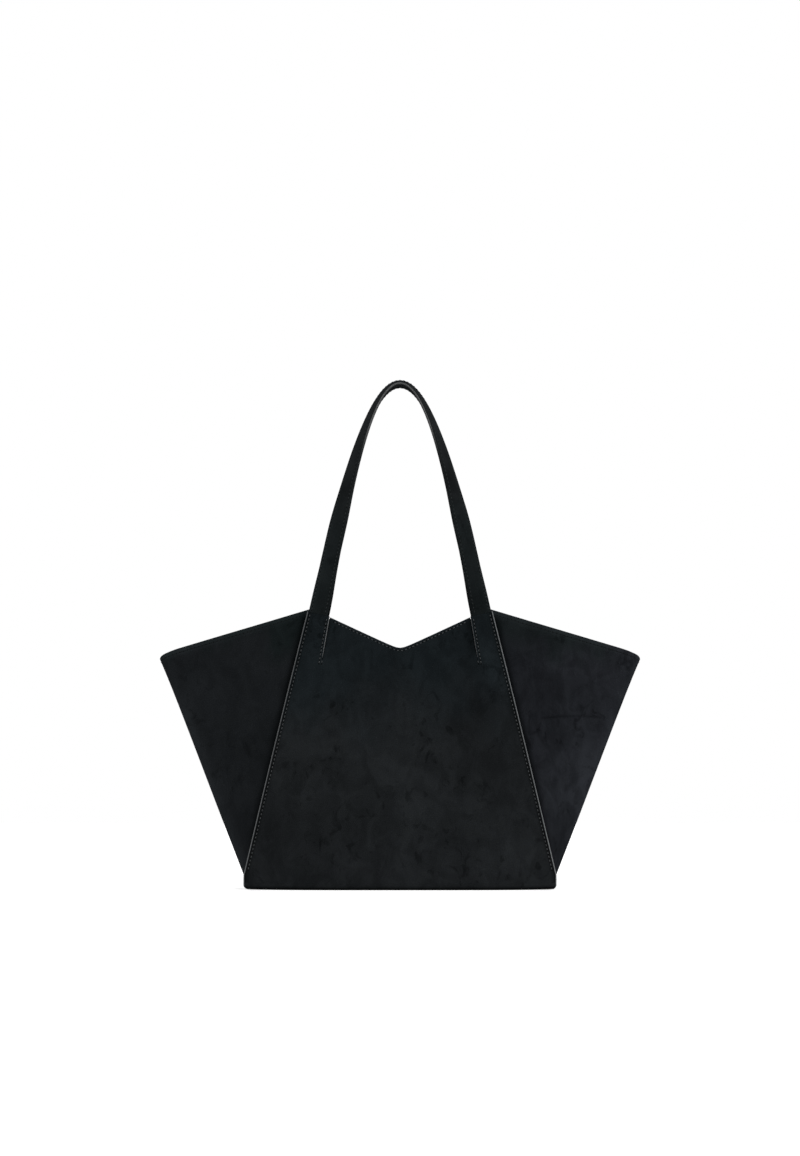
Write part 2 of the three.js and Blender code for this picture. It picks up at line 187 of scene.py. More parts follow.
TAB_WIDTH = float(edge_at(SLIT_END) - slit_at(SLIT_END))
print("tab width at the slit's end:", round(TAB_WIDTH, 1), "mm")
print("belly at mid height:", round(float(give(0.0, JOINT / 2)), 2), "mm")

# %% [markdown]
# ## From points to pieces
#
# `make_piece` turns points and faces into a Blender mesh. It also stores where each point lies on the
# flat sheet, as the attribute `cloth`, and where it is at rest, as `rest`. Materials read these two,
# so that weave and nap stay on the sheet when a handle bends. A third one says how far the nap is
# pressed down, and it also holds painted shade and painted highlights.

# %% Meshes from points
SHARP_ANGLE = math.radians(48)
PIECES = {}


def store(mesh, name, kind, values):
    field = "vector" if kind == "FLOAT_VECTOR" else "value"
    layer = mesh.attributes.new(name, kind, "POINT")
    layer.data.foreach_set(field, np.asarray(values, np.float32).ravel())


def add_object(name, data):
    made = bpy.data.objects.new(name, data)
    bpy.context.scene.collection.objects.link(made)
    return made


def make_piece(name, points, faces, finishes, kinds=None, cloth=None, press=None):
    """A mesh object from points in millimetres, settled on the ground."""
    points = np.array(points, float)
    curl = CURL * (np.clip(np.abs(points[:, 0]) / BASE_HALF, 0, 1)) ** 4
    points[:, 2] += curl * (1 - smooth(0, CURL_HEIGHT, points[:, 2]))
    mesh = bpy.data.meshes.new(name)
    mesh.from_pydata((points * MM).tolist(), [], [[int(i) for i in face] for face in faces])
    for finish in finishes:
        mesh.materials.append(finish)
    if kinds is not None:
        mesh.polygons.foreach_set("material_index", np.asarray(kinds, np.int32))
    mesh.shade_smooth()
    mesh.set_sharp_from_angle(angle=SHARP_ANGLE)
    store(mesh, "rest", "FLOAT_VECTOR", points * MM)
    flat = points[:, :2] if cloth is None else cloth
    store(mesh, "cloth", "FLOAT_VECTOR", np.column_stack([flat, np.zeros(len(points))]) * MM)
    store(mesh, "press", "FLOAT", np.zeros(len(points)) if press is None else press)
    PIECES[name] = add_object(name, mesh)
    return PIECES[name]


print("edges are sharp from", round(math.degrees(SHARP_ANGLE)), "degrees")

# %% [markdown]
# ## Sheets with a thickness
#
# Solidify could thicken a grid, but its rim is square. `thick_sheet` gives the rim a slanted facet of
# its own, so that a cut edge catches light as it does on real suede. It also welds grids where their
# points coincide, so one sheet can have a slit.

# %% From a grid to a welded surface
def run_along(path):
    """Length along a path up to each of its points."""
    return np.concatenate([[0], np.cumsum(np.linalg.norm(np.diff(path, axis=0), axis=1))])


def arcs(grid):
    """Lengths along the columns and the rows of a grid, which are its places on the flat sheet."""
    across = np.zeros(grid.shape[:2])
    across[:, 1:] = np.cumsum(np.linalg.norm(np.diff(grid, axis=1), axis=2), axis=1)
    across -= across[:, -1:] / 2
    up = np.zeros(grid.shape[:2])
    up[1:] = np.cumsum(np.linalg.norm(np.diff(grid, axis=0), axis=2), axis=0)
    return np.stack([across, up], -1)


def weld(patches, *layers):
    """Joins grids where their points coincide, and keeps the values of each layer at the points."""
    known, quads = {}, []
    kept = [[] for _ in range(1 + len(layers))]
    for sources in zip(patches, *layers):
        grid = sources[0]
        ids = np.empty(grid.shape[:2], int)
        for place in np.ndindex(ids.shape):
            key = tuple(np.round(grid[place], 3))
            if key not in known:
                known[key] = len(known)
                for column, source in zip(kept, sources):
                    column.append(source[place])
            ids[place] = known[key]
        corners = [ids[:-1, :-1], ids[:-1, 1:], ids[1:, 1:], ids[1:, :-1]]
        quads.append(np.stack(corners, -1).reshape(-1, 4))
    return np.concatenate(quads), *(np.array(column) for column in kept)


def normals_of(points, quads):
    first, second, third, fourth = (points[quads[:, corner]] for corner in range(4))
    facing = np.cross(third - first, fourth - second)
    normal = np.zeros_like(points)
    for corner in range(4):
        np.add.at(normal, quads[:, corner], facing)
    return unit(normal)


def rim_of(quads):
    """The sides of quads that no other quad shares, as pairs of points."""
    pairs = list(zip(quads.ravel().tolist(), np.roll(quads, -1, 1).ravel().tolist()))
    present = set(pairs)
    return np.array([(a, b) for a, b in pairs if (b, a) not in present])


def inward_of(points, normal, rim):
    """The direction from each point of the rim into the sheet, and zero for all other points."""
    inward = np.zeros_like(points)
    turned = unit(np.cross(normal[rim[:, 0]], points[rim[:, 1]] - points[rim[:, 0]]))
    np.add.at(inward, rim[:, 0], turned)
    np.add.at(inward, rim[:, 1], turned)
    return unit(inward) * (np.linalg.norm(inward, axis=1, keepdims=True) > 0)


print("length along a square corner:", run_along(np.array([[0, 0], [3, 0], [3, 4]]))[-1])

# %% Thick sheet
SOFT_EDGE = 0.35
RAW_EDGE = 1.0
HIDDEN_EDGE = 0.12
SLIT_EDGE = 0.68
RAW_FROM = 1.1 * SOFT_EDGE
RAW_DROP = 0.8


def thick_sheet(name, patches, thickness, finishes, edges=None, press=None):
    """A sheet from one or more grids of its outer face. edges holds the reach of the slanted rim."""
    edges = edges or [np.full(grid.shape[:2], SOFT_EDGE) for grid in patches]
    press = press or [np.zeros(grid.shape[:2]) for grid in patches]
    flats = [arcs(grid) for grid in patches]
    quads, points, flats, rims, presses = weld(patches, flats, edges, press)
    normal = normals_of(points, quads)
    rim = rim_of(quads)
    inward = inward_of(points, normal, rim)

    count = len(points)
    on_rim = np.unique(rim)
    middle = {int(i): 2 * count + k for k, i in enumerate(on_rim)}
    raw = rims > RAW_FROM
    drop = np.where(raw, RAW_DROP * thickness, min(SOFT_EDGE, thickness / 2))[on_rim, None]
    outer = points + inward * rims[:, None]
    inner = points - normal * thickness
    between = points[on_rim] - normal[on_rim] * drop

    faces = [*quads, *(quads[:, ::-1] + count)]
    kinds = [0] * len(quads) + [1] * len(quads)
    for a, b in rim.tolist():
        faces.append([b, a, middle[a], middle[b]])
        faces.append([middle[b], middle[a], a + count, b + count])
        kinds += [2 if raw[a] and raw[b] else 0] * 2
    return make_piece(
        name,
        np.concatenate([outer, inner, between]),
        faces,
        finishes,
        kinds,
        np.concatenate([flats, flats, flats[on_rim]]),
        np.concatenate([presses, presses * 0, presses[on_rim]]),
    )


print("a cut edge reaches", RAW_EDGE, "mm inwards, a plain one", SOFT_EDGE, "mm")

# %% Bodies and sides
def dress(piece, body, slot, *nodes):
    """The piece moves with a body and stands for CAD nodes, which it hides. The slot is not used."""
    if body:
        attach(piece, body)
    if nodes:
        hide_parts(*nodes)
    return piece


LEFT_RIGHT = np.array([-1.0, 1.0, 1.0])
FRONT_BACK = np.array([1.0, -1.0, 1.0])


def as_is(points):
    return points


def turn_round(points):
    """Half a turn about the upright axis: what is in front comes to the back."""
    return points * LEFT_RIGHT * FRONT_BACK


WALLS = (("front", as_is), ("back", turn_round))
print("walls:", [name for name, _ in WALLS])

# %% [markdown]
# ## Shader sums
#
# Node trees get long when each Math node is made by hand. `Wire` wraps an output socket, so that
# `1 - mask * 0.5` adds the nodes it needs. Every other node comes from its `node` method.

# %% A socket that can be reckoned with
class Wire:
    def __init__(self, socket):
        self.socket = socket

    def node(self, kind, settings=None, inputs=None, out=0):
        """A new node in the same tree: first its settings, then the values or links of its sockets."""
        tree = self.socket.id_data
        made = tree.nodes.new(kind)
        for name, value in (settings or {}).items():
            setattr(made, name, value)
        for name, value in (inputs or {}).items():
            plug(made.inputs[name], value)
        return Wire(made.outputs[out])

    def maths(self, operation, first, second=0.0):
        return self.node("ShaderNodeMath", {"operation": operation}, {0: first, 1: second})

    def __add__(self, other):
        return self.maths("ADD", self, other)

    def __sub__(self, other):
        return self.maths("SUBTRACT", self, other)

    def __rsub__(self, other):
        return self.maths("SUBTRACT", other, self)

    def __mul__(self, other):
        return self.maths("MULTIPLY", self, other)

    __radd__ = __add__
    __rmul__ = __mul__

    def noise(self, scale, detail=2.0, roughness=0.5, distortion=0.0):
        values = {"Vector": self, "Scale": scale, "Detail": detail}
        values.update({"Roughness": roughness, "Distortion": distortion})
        return self.node("ShaderNodeTexNoise", {}, values, "Fac")

    def axis(self, name):
        """One coordinate of a place."""
        return self.node("ShaderNodeSeparateXYZ", {}, {0: self}, name)

    def stretched(self, x, y, z):
        return self.node("ShaderNodeVectorMath", {"operation": "MULTIPLY"}, {0: self, 1: (x, y, z)})

    def ramp(self, low, high):
        """0 below low, 1 above high, and smooth between."""
        shape = {"interpolation_type": "SMOOTHSTEP"}
        return self.node("ShaderNodeMapRange", shape, {"Value": self, "From Min": low, "From Max": high})

    def mix(self, first, second):
        """A colour that goes from the first to the second as this value goes from 0 to 1."""
        return self.node("ShaderNodeMix", {"data_type": "RGBA"}, {0: self, 6: first, 7: second}, 2)

    def tint(self, colour):
        """A colour made lighter or darker by this value."""
        colour = colour if isinstance(colour, Wire) else colour[:3]
        return self.node("ShaderNodeVectorMath", {"operation": "SCALE"}, {0: colour, "Scale": self})

    def bump(self, strength, distance):
        values = {"Height": self, "Strength": strength, "Distance": distance}
        return self.node("ShaderNodeBump", {}, values)


print("sums for shaders:", [name for name in vars(Wire) if not name.startswith("_")])

# %% Material helpers
def plug(socket, value):
    if isinstance(value, Wire):
        socket.id_data.links.new(value.socket, socket)
    else:
        socket.default_value = value


def paint(*levels):
    """A colour given as screen levels from 0 to 255, as the linear values that shaders use."""
    shares = [level / 255 for level in levels]
    return tuple(s / 12.92 if s <= 0.04045 else ((s + 0.055) / 1.055) ** 2.4 for s in shares) + (1.0,)


def begin(name, *layers):
    """A new material, its shader, and a wire for each attribute asked for."""
    material = bpy.data.materials.new(name)
    material.use_nodes = True
    tree = material.node_tree
    wires = []
    for layer in layers:
        reader = tree.nodes.new("ShaderNodeAttribute")
        reader.attribute_name = layer
        wires.append(Wire(reader.outputs["Fac" if layer == "press" else "Vector"]))
    return material, tree.nodes["Principled BSDF"], *wires


def coat(shader, **values):
    for name, value in values.items():
        plug(shader.inputs[name.replace("_", " ")], value)


print("mid grey as a linear value:", round(paint(128)[0], 4))

# %% [markdown]
# ## Suede
#
# Suede is leather with its fibres brushed up. It has no gloss, so roughness is high, and a little sheen
# stands for light that is caught in the fibre tips. Noise of several sizes makes the rest: broad marks
# where a hand has brushed the nap, short streaks along the brushing, and the grain of the fibres.
# Another attribute darkens the nap where a seam has flattened it. It also carries painted shade
# beside the seams, at the foot, by a slit and in a crease. A value below zero paints the nap paler,
# and along the wings' folds and the straps' edges that is a painted highlight.

# %% Suede and cut edges
PRESS_SHADE = 0.8


def suede(name, tone, high_tone, span=(0.13, 0.24), marks=1.0):
    """Napped leather. Its tone changes to the high tone over a span of heights in metres."""
    material, shader, rest, press = begin(name, "rest", "press")
    height = rest.axis("Z")
    clouds = rest.stretched(1, 1, 0.75).noise(17, 3, 0.55, 0.7)
    patches = rest.stretched(1, 1, 0.8).noise(44, 4, 0.6, 0.9).ramp(0.36, 0.66)
    strokes = rest.stretched(1, 1, 0.8).noise(75, 3, 0.55, 1.3).ramp(0.54, 0.66)
    strokes = strokes * rest.noise(21, 2, 0.5, 0.5).ramp(0.42, 0.6)
    streaks = rest.stretched(1, 1, 0.4).noise(150, 3, 0.6, 0.4)
    fibres = rest.noise(900, 3, 0.65)
    tips = rest.noise(3100, 1)
    shade = 0.9 * (clouds - 0.5) + 0.3 * (patches - 0.5) - 0.34 * strokes + 0.3 * (streaks - 0.5)
    shade = 1.03 + marks * shade + 0.5 * (fibres - 0.5) + 0.25 * (tips - 0.5)
    colour = (height + 0.12 * (clouds - 0.5)).ramp(*span).mix(tone, high_tone)
    # Pressed nap and painted shade darken the colour here, and painted highlights lighten it.
    coat(shader, Base_Color=(shade * (1 - PRESS_SHADE * press)).tint(colour))
    coat(shader, Roughness=0.82 + 0.2 * (fibres - 0.5))
    coat(shader, Normal=(fibres + 0.4 * tips + 0.8 * streaks).bump(0.5, 0.0006))
    coat(shader, Specular_IOR_Level=0.0, Sheen_Weight=0.02, Sheen_Roughness=0.5)
    coat(shader, Sheen_Tint=paint(170, 178, 186))
    return material


def cut_edge(name, tone, low_tone, low, high):
    """The pale core of the leather, with fibres that the knife has left. Its tone changes with height."""
    material, shader, rest = begin(name, "rest")
    height = rest.axis("Z")
    clumps = rest.noise(420, 3, 0.6)
    fibres = rest.noise(2600, 2)
    shade = 1 + 0.9 * (clumps - 0.5) + 0.7 * (fibres - 0.5)
    coat(shader, Base_Color=shade.tint(height.ramp(low, high).mix(low_tone, tone)), Roughness=0.95)
    coat(shader, Normal=(clumps + fibres).bump(0.6, 0.0004), Specular_IOR_Level=0.03)
    return material


# On the panels the darker, tealer tone near the mouth is partly the nap's own tone and partly painted
# shade.
panel_suede = suede("panel_suede", paint(30.9, 32.9, 34.4), paint(23.4, 27.9, 30.2))
# Both wings are one suede: the right one is painted lighter, as light, and the left one darker, as shade.
shaded_left_suede = suede("left_wing_suede_painted_shade", paint(28.8, 31, 33), paint(22, 27, 27.7), (0.235, 0.265), 0.7)
lit_right_suede = suede("right_wing_suede_painted_light", paint(32, 33.7, 37.2), paint(24.8, 28.5, 29.8), (0.22, 0.258), 1.1)
# The strap is painted paler on its upper limbs and crown, as light.
strap_suede = suede("strap_suede", paint(26.4, 30.2, 31), paint(33, 35, 36), (0.35, 0.43), 0.7)
facing_suede = suede("facing_suede", paint(36, 37, 38), paint(36, 37, 38))
flesh_side = suede("flesh_side", paint(38, 38, 39), paint(38, 38, 39))
raw_edge = cut_edge("raw_edge", paint(102, 104, 105), paint(110, 112, 113), 0.0, 0.1)
# The strap's cut edges are painted dark low down and pale high up, as light falls on them.
strap_edge = cut_edge("strap_edge", paint(96, 97, 97), paint(34, 36, 37), 0.43, 0.475)
print("panel tone:", [round(v, 4) for v in paint(30.9, 32.9, 34.4)[:3]])

# %% [markdown]
# ## Cotton, thread and what is hidden
#
# Twill shows fine diagonal ribs. Because `cloth` holds places on the flat sheet, a sine of the sum of
# its two coordinates gives ribs of the right size on each piece of lining. Thread is too thin to show
# its twist, and felt and board lie between the layers, so a plain fibrous look is enough for them.

# %% Woven and hidden finishes
def twill(name, tone, pitch):
    material, shader, rest, cloth = begin(name, "rest", "cloth")
    across = cloth.axis("X")
    up = cloth.axis("Y")
    wander = 0.0004 * rest.noise(60, 2)
    ribs = across.maths("SINE", (across + up + wander) * (2 * math.pi / pitch))
    yarns = across.maths("SINE", (across - up) * (4 * math.pi / pitch))
    slubs = rest.stretched(1, 1, 0.1).noise(700, 2)
    folds = rest.noise(22, 3)
    shade = 1 + 0.28 * ribs + 0.1 * yarns + 0.5 * (slubs - 0.5) + 0.4 * (folds - 0.5)
    coat(shader, Base_Color=shade.tint(tone), Roughness=0.78 + 0.1 * slubs)
    coat(shader, Normal=(ribs + 0.4 * yarns).bump(0.5, 0.0003), Specular_IOR_Level=0.06)
    coat(shader, Sheen_Weight=0.04)
    return material


def fibrous(name, tone, scale, contrast):
    material, shader, rest = begin(name, "rest")
    coarse = rest.noise(scale, 4, 0.65)
    fine = rest.noise(5 * scale, 2)
    shade = 1 + contrast * (coarse - 0.5) + contrast * (fine - 0.5)
    coat(shader, Base_Color=shade.tint(tone), Roughness=0.9, Specular_IOR_Level=0.02)
    coat(shader, Normal=(coarse + fine).bump(0.4, 0.0004))
    return material


cotton = twill("cotton_twill", paint(50, 51, 54), 0.0014)
felt = fibrous("felt", paint(74, 74, 74), 300, 0.6)
board = fibrous("pressed_board", paint(107, 101, 92), 160, 0.4)
edge_thread = fibrous("edge_thread", paint(74, 76, 77), 900, 0.5)
plain_thread = fibrous("plain_thread", paint(30, 33, 34), 900, 0.5)
strap_thread = fibrous("strap_thread", paint(47, 50, 51), 900, 0.5)
# The two dark finishes are painted shade for the needle holes.
needle_hole_shade = fibrous("needle_hole_shade", paint(9, 10, 10), 900, 0.3)
nap_hole_shade = fibrous("nap_hole_shade", paint(19, 21, 22), 900, 0.3)
print("materials:", len(bpy.data.materials))

# %% [markdown]
# ## The panels
#
# Each panel is one sheet: half of the base, the turn at the foot and the wall. Beside the straps a slit
# runs down from the V, and the strip outside it, the tab, lies a little in front of the middle. To
# model a slit we lay three grids side by side. Below the slit's end their border points coincide and
# are welded, and above it they stay apart. Columns near the cut edge run along with it, so that the
# pale line is even.

# %% Columns of a panel
EDGE_STEPS = np.array([0, 1.6, 2.4, 3.4, 4.6, 6.5, 9.5, 13, 16.5, 19.5, 22])
SLIT_STEPS = TAB_WIDTH - np.array([3.2, 1.6, 0])
MIDDLE_STEPS = np.linspace(-1, 1, 43)
SLIT_GAP = 0.5
BASE_SEAM = 0.3
LIP_HEIGHT = 4.2
TAB_EAR = 2.2
SETTLING = 30


def foot_profile():
    """Depth and height of the rows under the base and round the bend."""
    centre = -BASE_HALF_DEPTH + BEND * (LEAN_SLOPE + LEAN_STRETCH)
    base = [(y, 0.0) for y in np.linspace(-BASE_SEAM / 2, centre, 10)]
    turns = np.linspace(0, math.pi / 2 + math.atan(LEAN_SLOPE), 9)[1:]
    return base + [(centre - BEND * math.sin(t), BEND - BEND * math.cos(t)) for t in turns]


def tab_x(share, z):
    """Half width at a share of the way from the cut edge to the slit."""
    width = np.where(z > SLIT_END, edge_at(z) - slit_at(z), TAB_WIDTH)
    return edge_at(z) - share * width


def middle_x(share, z):
    opening = SLIT_GAP * smooth(SLIT_END, SLIT_END + 6, z)
    limit = np.where(z > SLIT_END, slit_at(z) - opening, edge_at(z) - TAB_WIDTH)
    return share * limit


def tab_top(x):
    """Height of a tab's upper edge, which runs up in a point along the outside of the strap."""
    inside = edge_at(TAB_TOP) - np.abs(x)
    return TAB_TOP + STRAP_SLOPE * (np.abs(x) - STRAP_ROOT) + TAB_EAR * (1 - smooth(0.9, 1.9, inside))


def column_rows(x_of, top_of):
    """Heights of the rows of a column from the bend up, where its top depends on where it ends."""
    wall = np.linspace(BEND * 1.1, SLIT_END, 58)
    top = JOINT
    for _ in range(SETTLING):
        top = top_of(x_of(top))
    upper = np.linspace(SLIT_END, top - LIP_HEIGHT, 12)[1:]
    return np.concatenate([wall, upper, [top - 0.66 * LIP_HEIGHT, top - 0.33 * LIP_HEIGHT, top]])


print("rows under the base and round the bend:", len(foot_profile()))

# %% [markdown]
# Broad marks make the nap darker or paler in places. On the wings and the straps some of them are
# painted shade, and one is a painted highlight. They could be painted as a picture, but a few soft
# ovals, each with a place, a size and a strength, are easier to move and to weaken.

# %% Marks and painted shade
PANEL_MARKS = [
    (78, 172, 28, 36, 0.38),
    (108, 118, 18, 30, 0.36),
    (-100, 52, 50, 30, 0.36),
    (-108, 114, 20, 26, 0.16),
    (66, 48, 24, 22, 0.3),
    (118, 46, 18, 20, -0.32),
    (0, 165, 26, 40, -0.18),
    (0, 218, 22, 18, -0.07),
    (-54, 212, 18, 14, 0.1),
    (-87, 235, 9, 16, -0.13),
    (88, 235, 9, 16, -0.38),
    (97, 208, 12, 18, -0.3),
    (-72, 118, 14, 20, -0.08),
    (-143, 42, 9, 22, -0.14),
    (143, 42, 8, 22, 0.18),
    (90, 84, 15, 18, 0.16),
    (-38, 104, 12, 20, 0.12),
]


def marks_and_shade(x, z, marks):
    """Soft marks, darker or paler, some of them painted shade: each has a middle, two half sizes and how
    much darker it is painted there.
    """
    shade = 0
    for mark_x, mark_z, wide, high, dark in marks:
        shade = shade + dark * np.exp(-(((x - mark_x) / wide) ** 2) - ((z - mark_z) / high) ** 2)
    return shade


print("marks on a panel:", len(PANEL_MARKS))

# %% Grids of a panel
SEAM_SHADE = 0.7
FOOT_SHADE = 0.85
LIP_PALE = 0.4
SLIT_SHADE = 0.55
SLIT_SHADE_REACH = 14.0


def slit_shade(x, z):
    """The middle lies in the shade of the right tab, next to the slit."""
    near = 1 - smooth(SLIT_GAP, SLIT_SHADE_REACH, slit_at(z) - x)
    return SLIT_SHADE * near * smooth(SLIT_END, SLIT_END + 12, z)


def panel_patch(x_of, top_of, shares, side, sunk):
    """Points of a grid, and a value for each that darkens or lightens its nap: painted shade beside the cut
    edges, by the slit and at the foot, broad marks, and a paler lip. A sunk grid is the middle of the
    panel.
    """
    columns, pressed = [], []
    foot = foot_profile()
    for share in shares:
        heights = column_rows(lambda z: x_of(share, z), top_of)
        xs = side * x_of(share, heights)
        ys = front_y(xs, heights, 0, sunk)
        low = np.array([[side * x_of(share, z), y, z] for y, z in foot])
        columns.append(np.concatenate([low, np.stack([xs, ys, heights], -1)]))
        lip = 1 - smooth(0.3, LIP_HEIGHT, heights[-1] - heights)
        inside = edge_at(heights) - np.abs(xs)
        seam = smooth(0.8, 1.6, inside) * (1 - 0.55 * smooth(2.2, 3.4, inside))
        seam = seam * (1 - smooth(4.4, 6.6, inside))
        flat = SEAM_SHADE * seam + marks_and_shade(xs, heights, PANEL_MARKS)
        if sunk:
            flat = flat - LIP_PALE * lip + slit_shade(xs, heights)
        under = FOOT_SHADE * (1 - smooth(0.8, 4.2, low[:, 2]))
        pressed.append(np.concatenate([under, flat]))
    return np.stack(columns, 1), np.stack(pressed, 1)


slit_share = np.concatenate([EDGE_STEPS, SLIT_STEPS]) / TAB_WIDTH
left_tab, left_press = panel_patch(tab_x, tab_top, slit_share, -1, False)
right_tab, right_press = panel_patch(tab_x, tab_top, slit_share[::-1], 1, False)
middle, middle_press = panel_patch(middle_x, notch_at, MIDDLE_STEPS, 1, True)
print("rows and columns: tab", left_tab.shape[:2], "middle", middle.shape[:2])

# %% Front and back panel
SLIT_GAPES = {"left": 1.0, "right": 0.5}


def panel_edges(grid, raw_columns, top):
    """How far the rim reaches inwards: plain, but for the top row and the columns that are named."""
    reach = np.full(grid.shape[:2], SOFT_EDGE)
    reach[-1, :] = top
    for column, width in raw_columns.items():
        reach[:, column] = width
    return reach


def slit_reach(grid, side):
    """The slit gapes above its end, the left one more, and only there its pale core shows."""
    open_above = SLIT_GAPES[side] * smooth(SLIT_END - 6, SLIT_END + 26, grid[:, 0, 2])
    return SOFT_EDGE + (SLIT_EDGE - SOFT_EDGE) * open_above


panel_rims = [
    panel_edges(left_tab, {0: RAW_EDGE, -1: slit_reach(left_tab, "left")}, HIDDEN_EDGE),
    panel_edges(middle, {}, SOFT_EDGE),
    panel_edges(right_tab, {0: slit_reach(right_tab, "right"), -1: RAW_EDGE}, HIDDEN_EDGE),
]
panel_patches = [left_tab, middle, right_tab]
panel_press = [left_press, middle_press, right_press]
panel_finish = [panel_suede, flesh_side, raw_edge]

for side, place in WALLS:
    grids = [place(grid) for grid in panel_patches]
    panel = thick_sheet(f"{side}_panel_suede", grids, SUEDE, panel_finish, panel_rims, panel_press)
    dress(panel, "bag_body", "suede", f"{side}_panel")
    print(panel.name, "faces:", len(panel.data.polygons))

# %% [markdown]
# ## The wings
#
# A gusset is one sheet that runs from the front panel round a fold to the back panel. Each of its rows
# is a straight stretch from the seam that meets the fold's arc without a kink. Because the fold
# spreads outwards with height, the rows fan out and the sheet becomes a wing. Slow waves keep it from
# looking like a plate, and the right wing has a shallow crease where it has been pressed together.

# %% Seam, fold and creases of a gusset
SEAM_LAP = 4.5
GUSSET_TOP = JOINT + 1.1
FOOT = 1.7
TOP_BEHIND = 1.6
FOLD_FOOT = BASE_HALF - 2.4
SHARP_Z, SHARP_WAVE, SHARP_HALF = 171.5, 2.5, 1.3
SOFT_X, SOFT_Z, SOFT_SLOPE, SOFT_HALF = 182.0, 153.0, 0.46, 4.5


def gusset_seam(share):
    """Where the right gusset turns outwards behind the front panel."""
    z = FOOT + share * (GUSSET_TOP - FOOT)
    behind = FOOT + TOP_BEHIND * smooth(JOINT - 20, JOINT - 8, z)
    return edge_at(z) - SEAM_LAP, -depth_at(z, behind), z


def gusset_fold(share):
    """Where the right gusset is folded, half way between front and back."""
    return FOLD_FOOT + share * (WING_TIP - FOLD_FOOT), FOOT + share * (WING_TOP - FOOT)


def sharp_crease(x, z):
    """1 on the line where the right wing has been pressed together, and 0 away from it."""
    line = z - SHARP_Z - SHARP_WAVE * np.sin((x - 140) / 24)
    return np.exp(-((line / SHARP_HALF) ** 2)) * smooth(136, 150, x) * (1 - smooth(196, 208, x))


def soft_crease(x, z):
    """1 along a broad fold that crosses the first one."""
    line = (x - SOFT_X) - SOFT_SLOPE * (z - SOFT_Z)
    return np.exp(-((line / SOFT_HALF) ** 2)) * smooth(140, 160, z) * (1 - smooth(198, 212, z))


print("fold of a wing at its top:", [round(v, 1) for v in gusset_fold(1.0)])

# %% Rows of a gusset
FLANGE = 9.0
TIP_DROP, TIP_REACH = 3.8, 24.0
SWAY, SMALL_SWAY = 0.9, 0.5
SHARP_DEPTH, SOFT_DEPTH = 0.7, 0.6
LOW_ROWS = np.linspace(0, 0.57, 38)
CREASED_ROWS = np.linspace(0.58, 0.78, 51)
HIGH_ROWS = np.linspace(0.79, 0.96, 14)
TOP_ROWS = [0.97, 0.98, 0.987, 0.993, 1.0]
GUSSET_ROWS = np.concatenate([LOW_ROWS, CREASED_ROWS, HIGH_ROWS, TOP_ROWS])
NEAR_SEAM = np.array([0, 2.5, 4.0, 4.8, 5.4, 6.0, 6.8, 7.8, 9.2, 11.2, 14.0])


def gusset_row(share, creased=False, inset=0.0, start=None):
    """Points of a row, from the front seam round the fold to the back seam, at an inset."""
    x, y, z = gusset_seam(share)
    fold_x, fold_z = gusset_fold(share)
    centre = fold_x - FOLD_RADIUS
    reach = math.hypot(centre - x, y)
    heading = math.atan2(-y, centre - x) - math.asin(FOLD_RADIUS / reach)
    straight = math.sqrt(reach**2 - FOLD_RADIUS**2)
    sweep = math.pi / 2 - heading
    length = straight + FOLD_RADIUS * sweep
    near = NEAR_SEAM if start is None else np.array([start])
    runs = np.concatenate([near, np.linspace(near[-1] + 4, straight, 23)[:-1]])
    px = x + runs * math.cos(heading) - inset * math.sin(heading)
    py = y + runs * math.sin(heading) + inset * math.cos(heading)
    turns = np.linspace(0, sweep, 10)
    px = np.append(px, centre + (FOLD_RADIUS - inset) * np.cos(turns - sweep))
    py = np.append(py, (FOLD_RADIUS - inset) * np.sin(turns - sweep))
    runs = np.append(runs, straight + FOLD_RADIUS * turns)
    tip = np.clip(1 - (length - runs) / TIP_REACH, 0, 1) ** 2
    pz = z + (fold_z - z) * runs / length - TIP_DROP * tip * share**8
    sway = SWAY * np.sin(pz / 29 + px / 37) * np.sin(px / 41 - pz / 63)
    sway = sway + SMALL_SWAY * np.sin(pz / 17 - px / 23)
    window = np.sin(np.pi * np.clip(runs / length, 0, 1)) ** 0.8
    front = np.stack([px, py - window * sway, pz], -1)
    back = front[-2::-1] * FRONT_BACK
    if creased:
        front[:, 1] += SHARP_DEPTH * sharp_crease(px, pz) + SOFT_DEPTH * soft_crease(px, pz)
    if start is None:
        width = FLANGE * (1 - 0.8 * smooth(JOINT - 30, JOINT - 14, z))
        sewn = np.array([[x - width, y + inset, z], [x - 0.45 * width, y + inset, z]])
        front = np.concatenate([sewn, front])
        back = np.concatenate([back, sewn[::-1] * FRONT_BACK])
    return np.concatenate([front, back])


def gusset_grid(rows, **choices):
    return np.stack([gusset_row(share, **choices) for share in rows])


def to_left(grid):
    return grid[:, ::-1] * LEFT_RIGHT


right_grid = gusset_grid(GUSSET_ROWS, creased=True)
left_grid = to_left(gusset_grid(GUSSET_ROWS))
print("top row of the right wing reaches", np.round(right_grid[-1].max(0), 1))

# %% Wings
# Dark marks at the feet and beside the seams are painted shade, and the pale mark low near the right fold
# is a painted highlight.
WING_MARKS = {
    "left": [
        (150, 40, 26, 30, 0.35),
        (212, 222, 22, 16, 0.24),
        (132, 180, 16, 40, 0.16),
        (160, 110, 26, 24, -0.17),
        (112, 215, 12, 22, 0.16),
    ],
    "right": [
        (150, 36, 24, 28, 0.42),
        (181, 106, 20, 38, -0.5),
        (134, 185, 18, 50, 0.28),
        (114, 232, 16, 36, 0.3),
        (176, 206, 20, 16, 0.18),
    ],
}
TOP_PALE = {"left": 0.75, "right": 0.52}
FOLD_HIGHLIGHT = {"left": 1.05, "right": 0.14}
FOLD_REACH = 9.0
CREASE_SHADE = 0.42
DEEPEST = 0.86


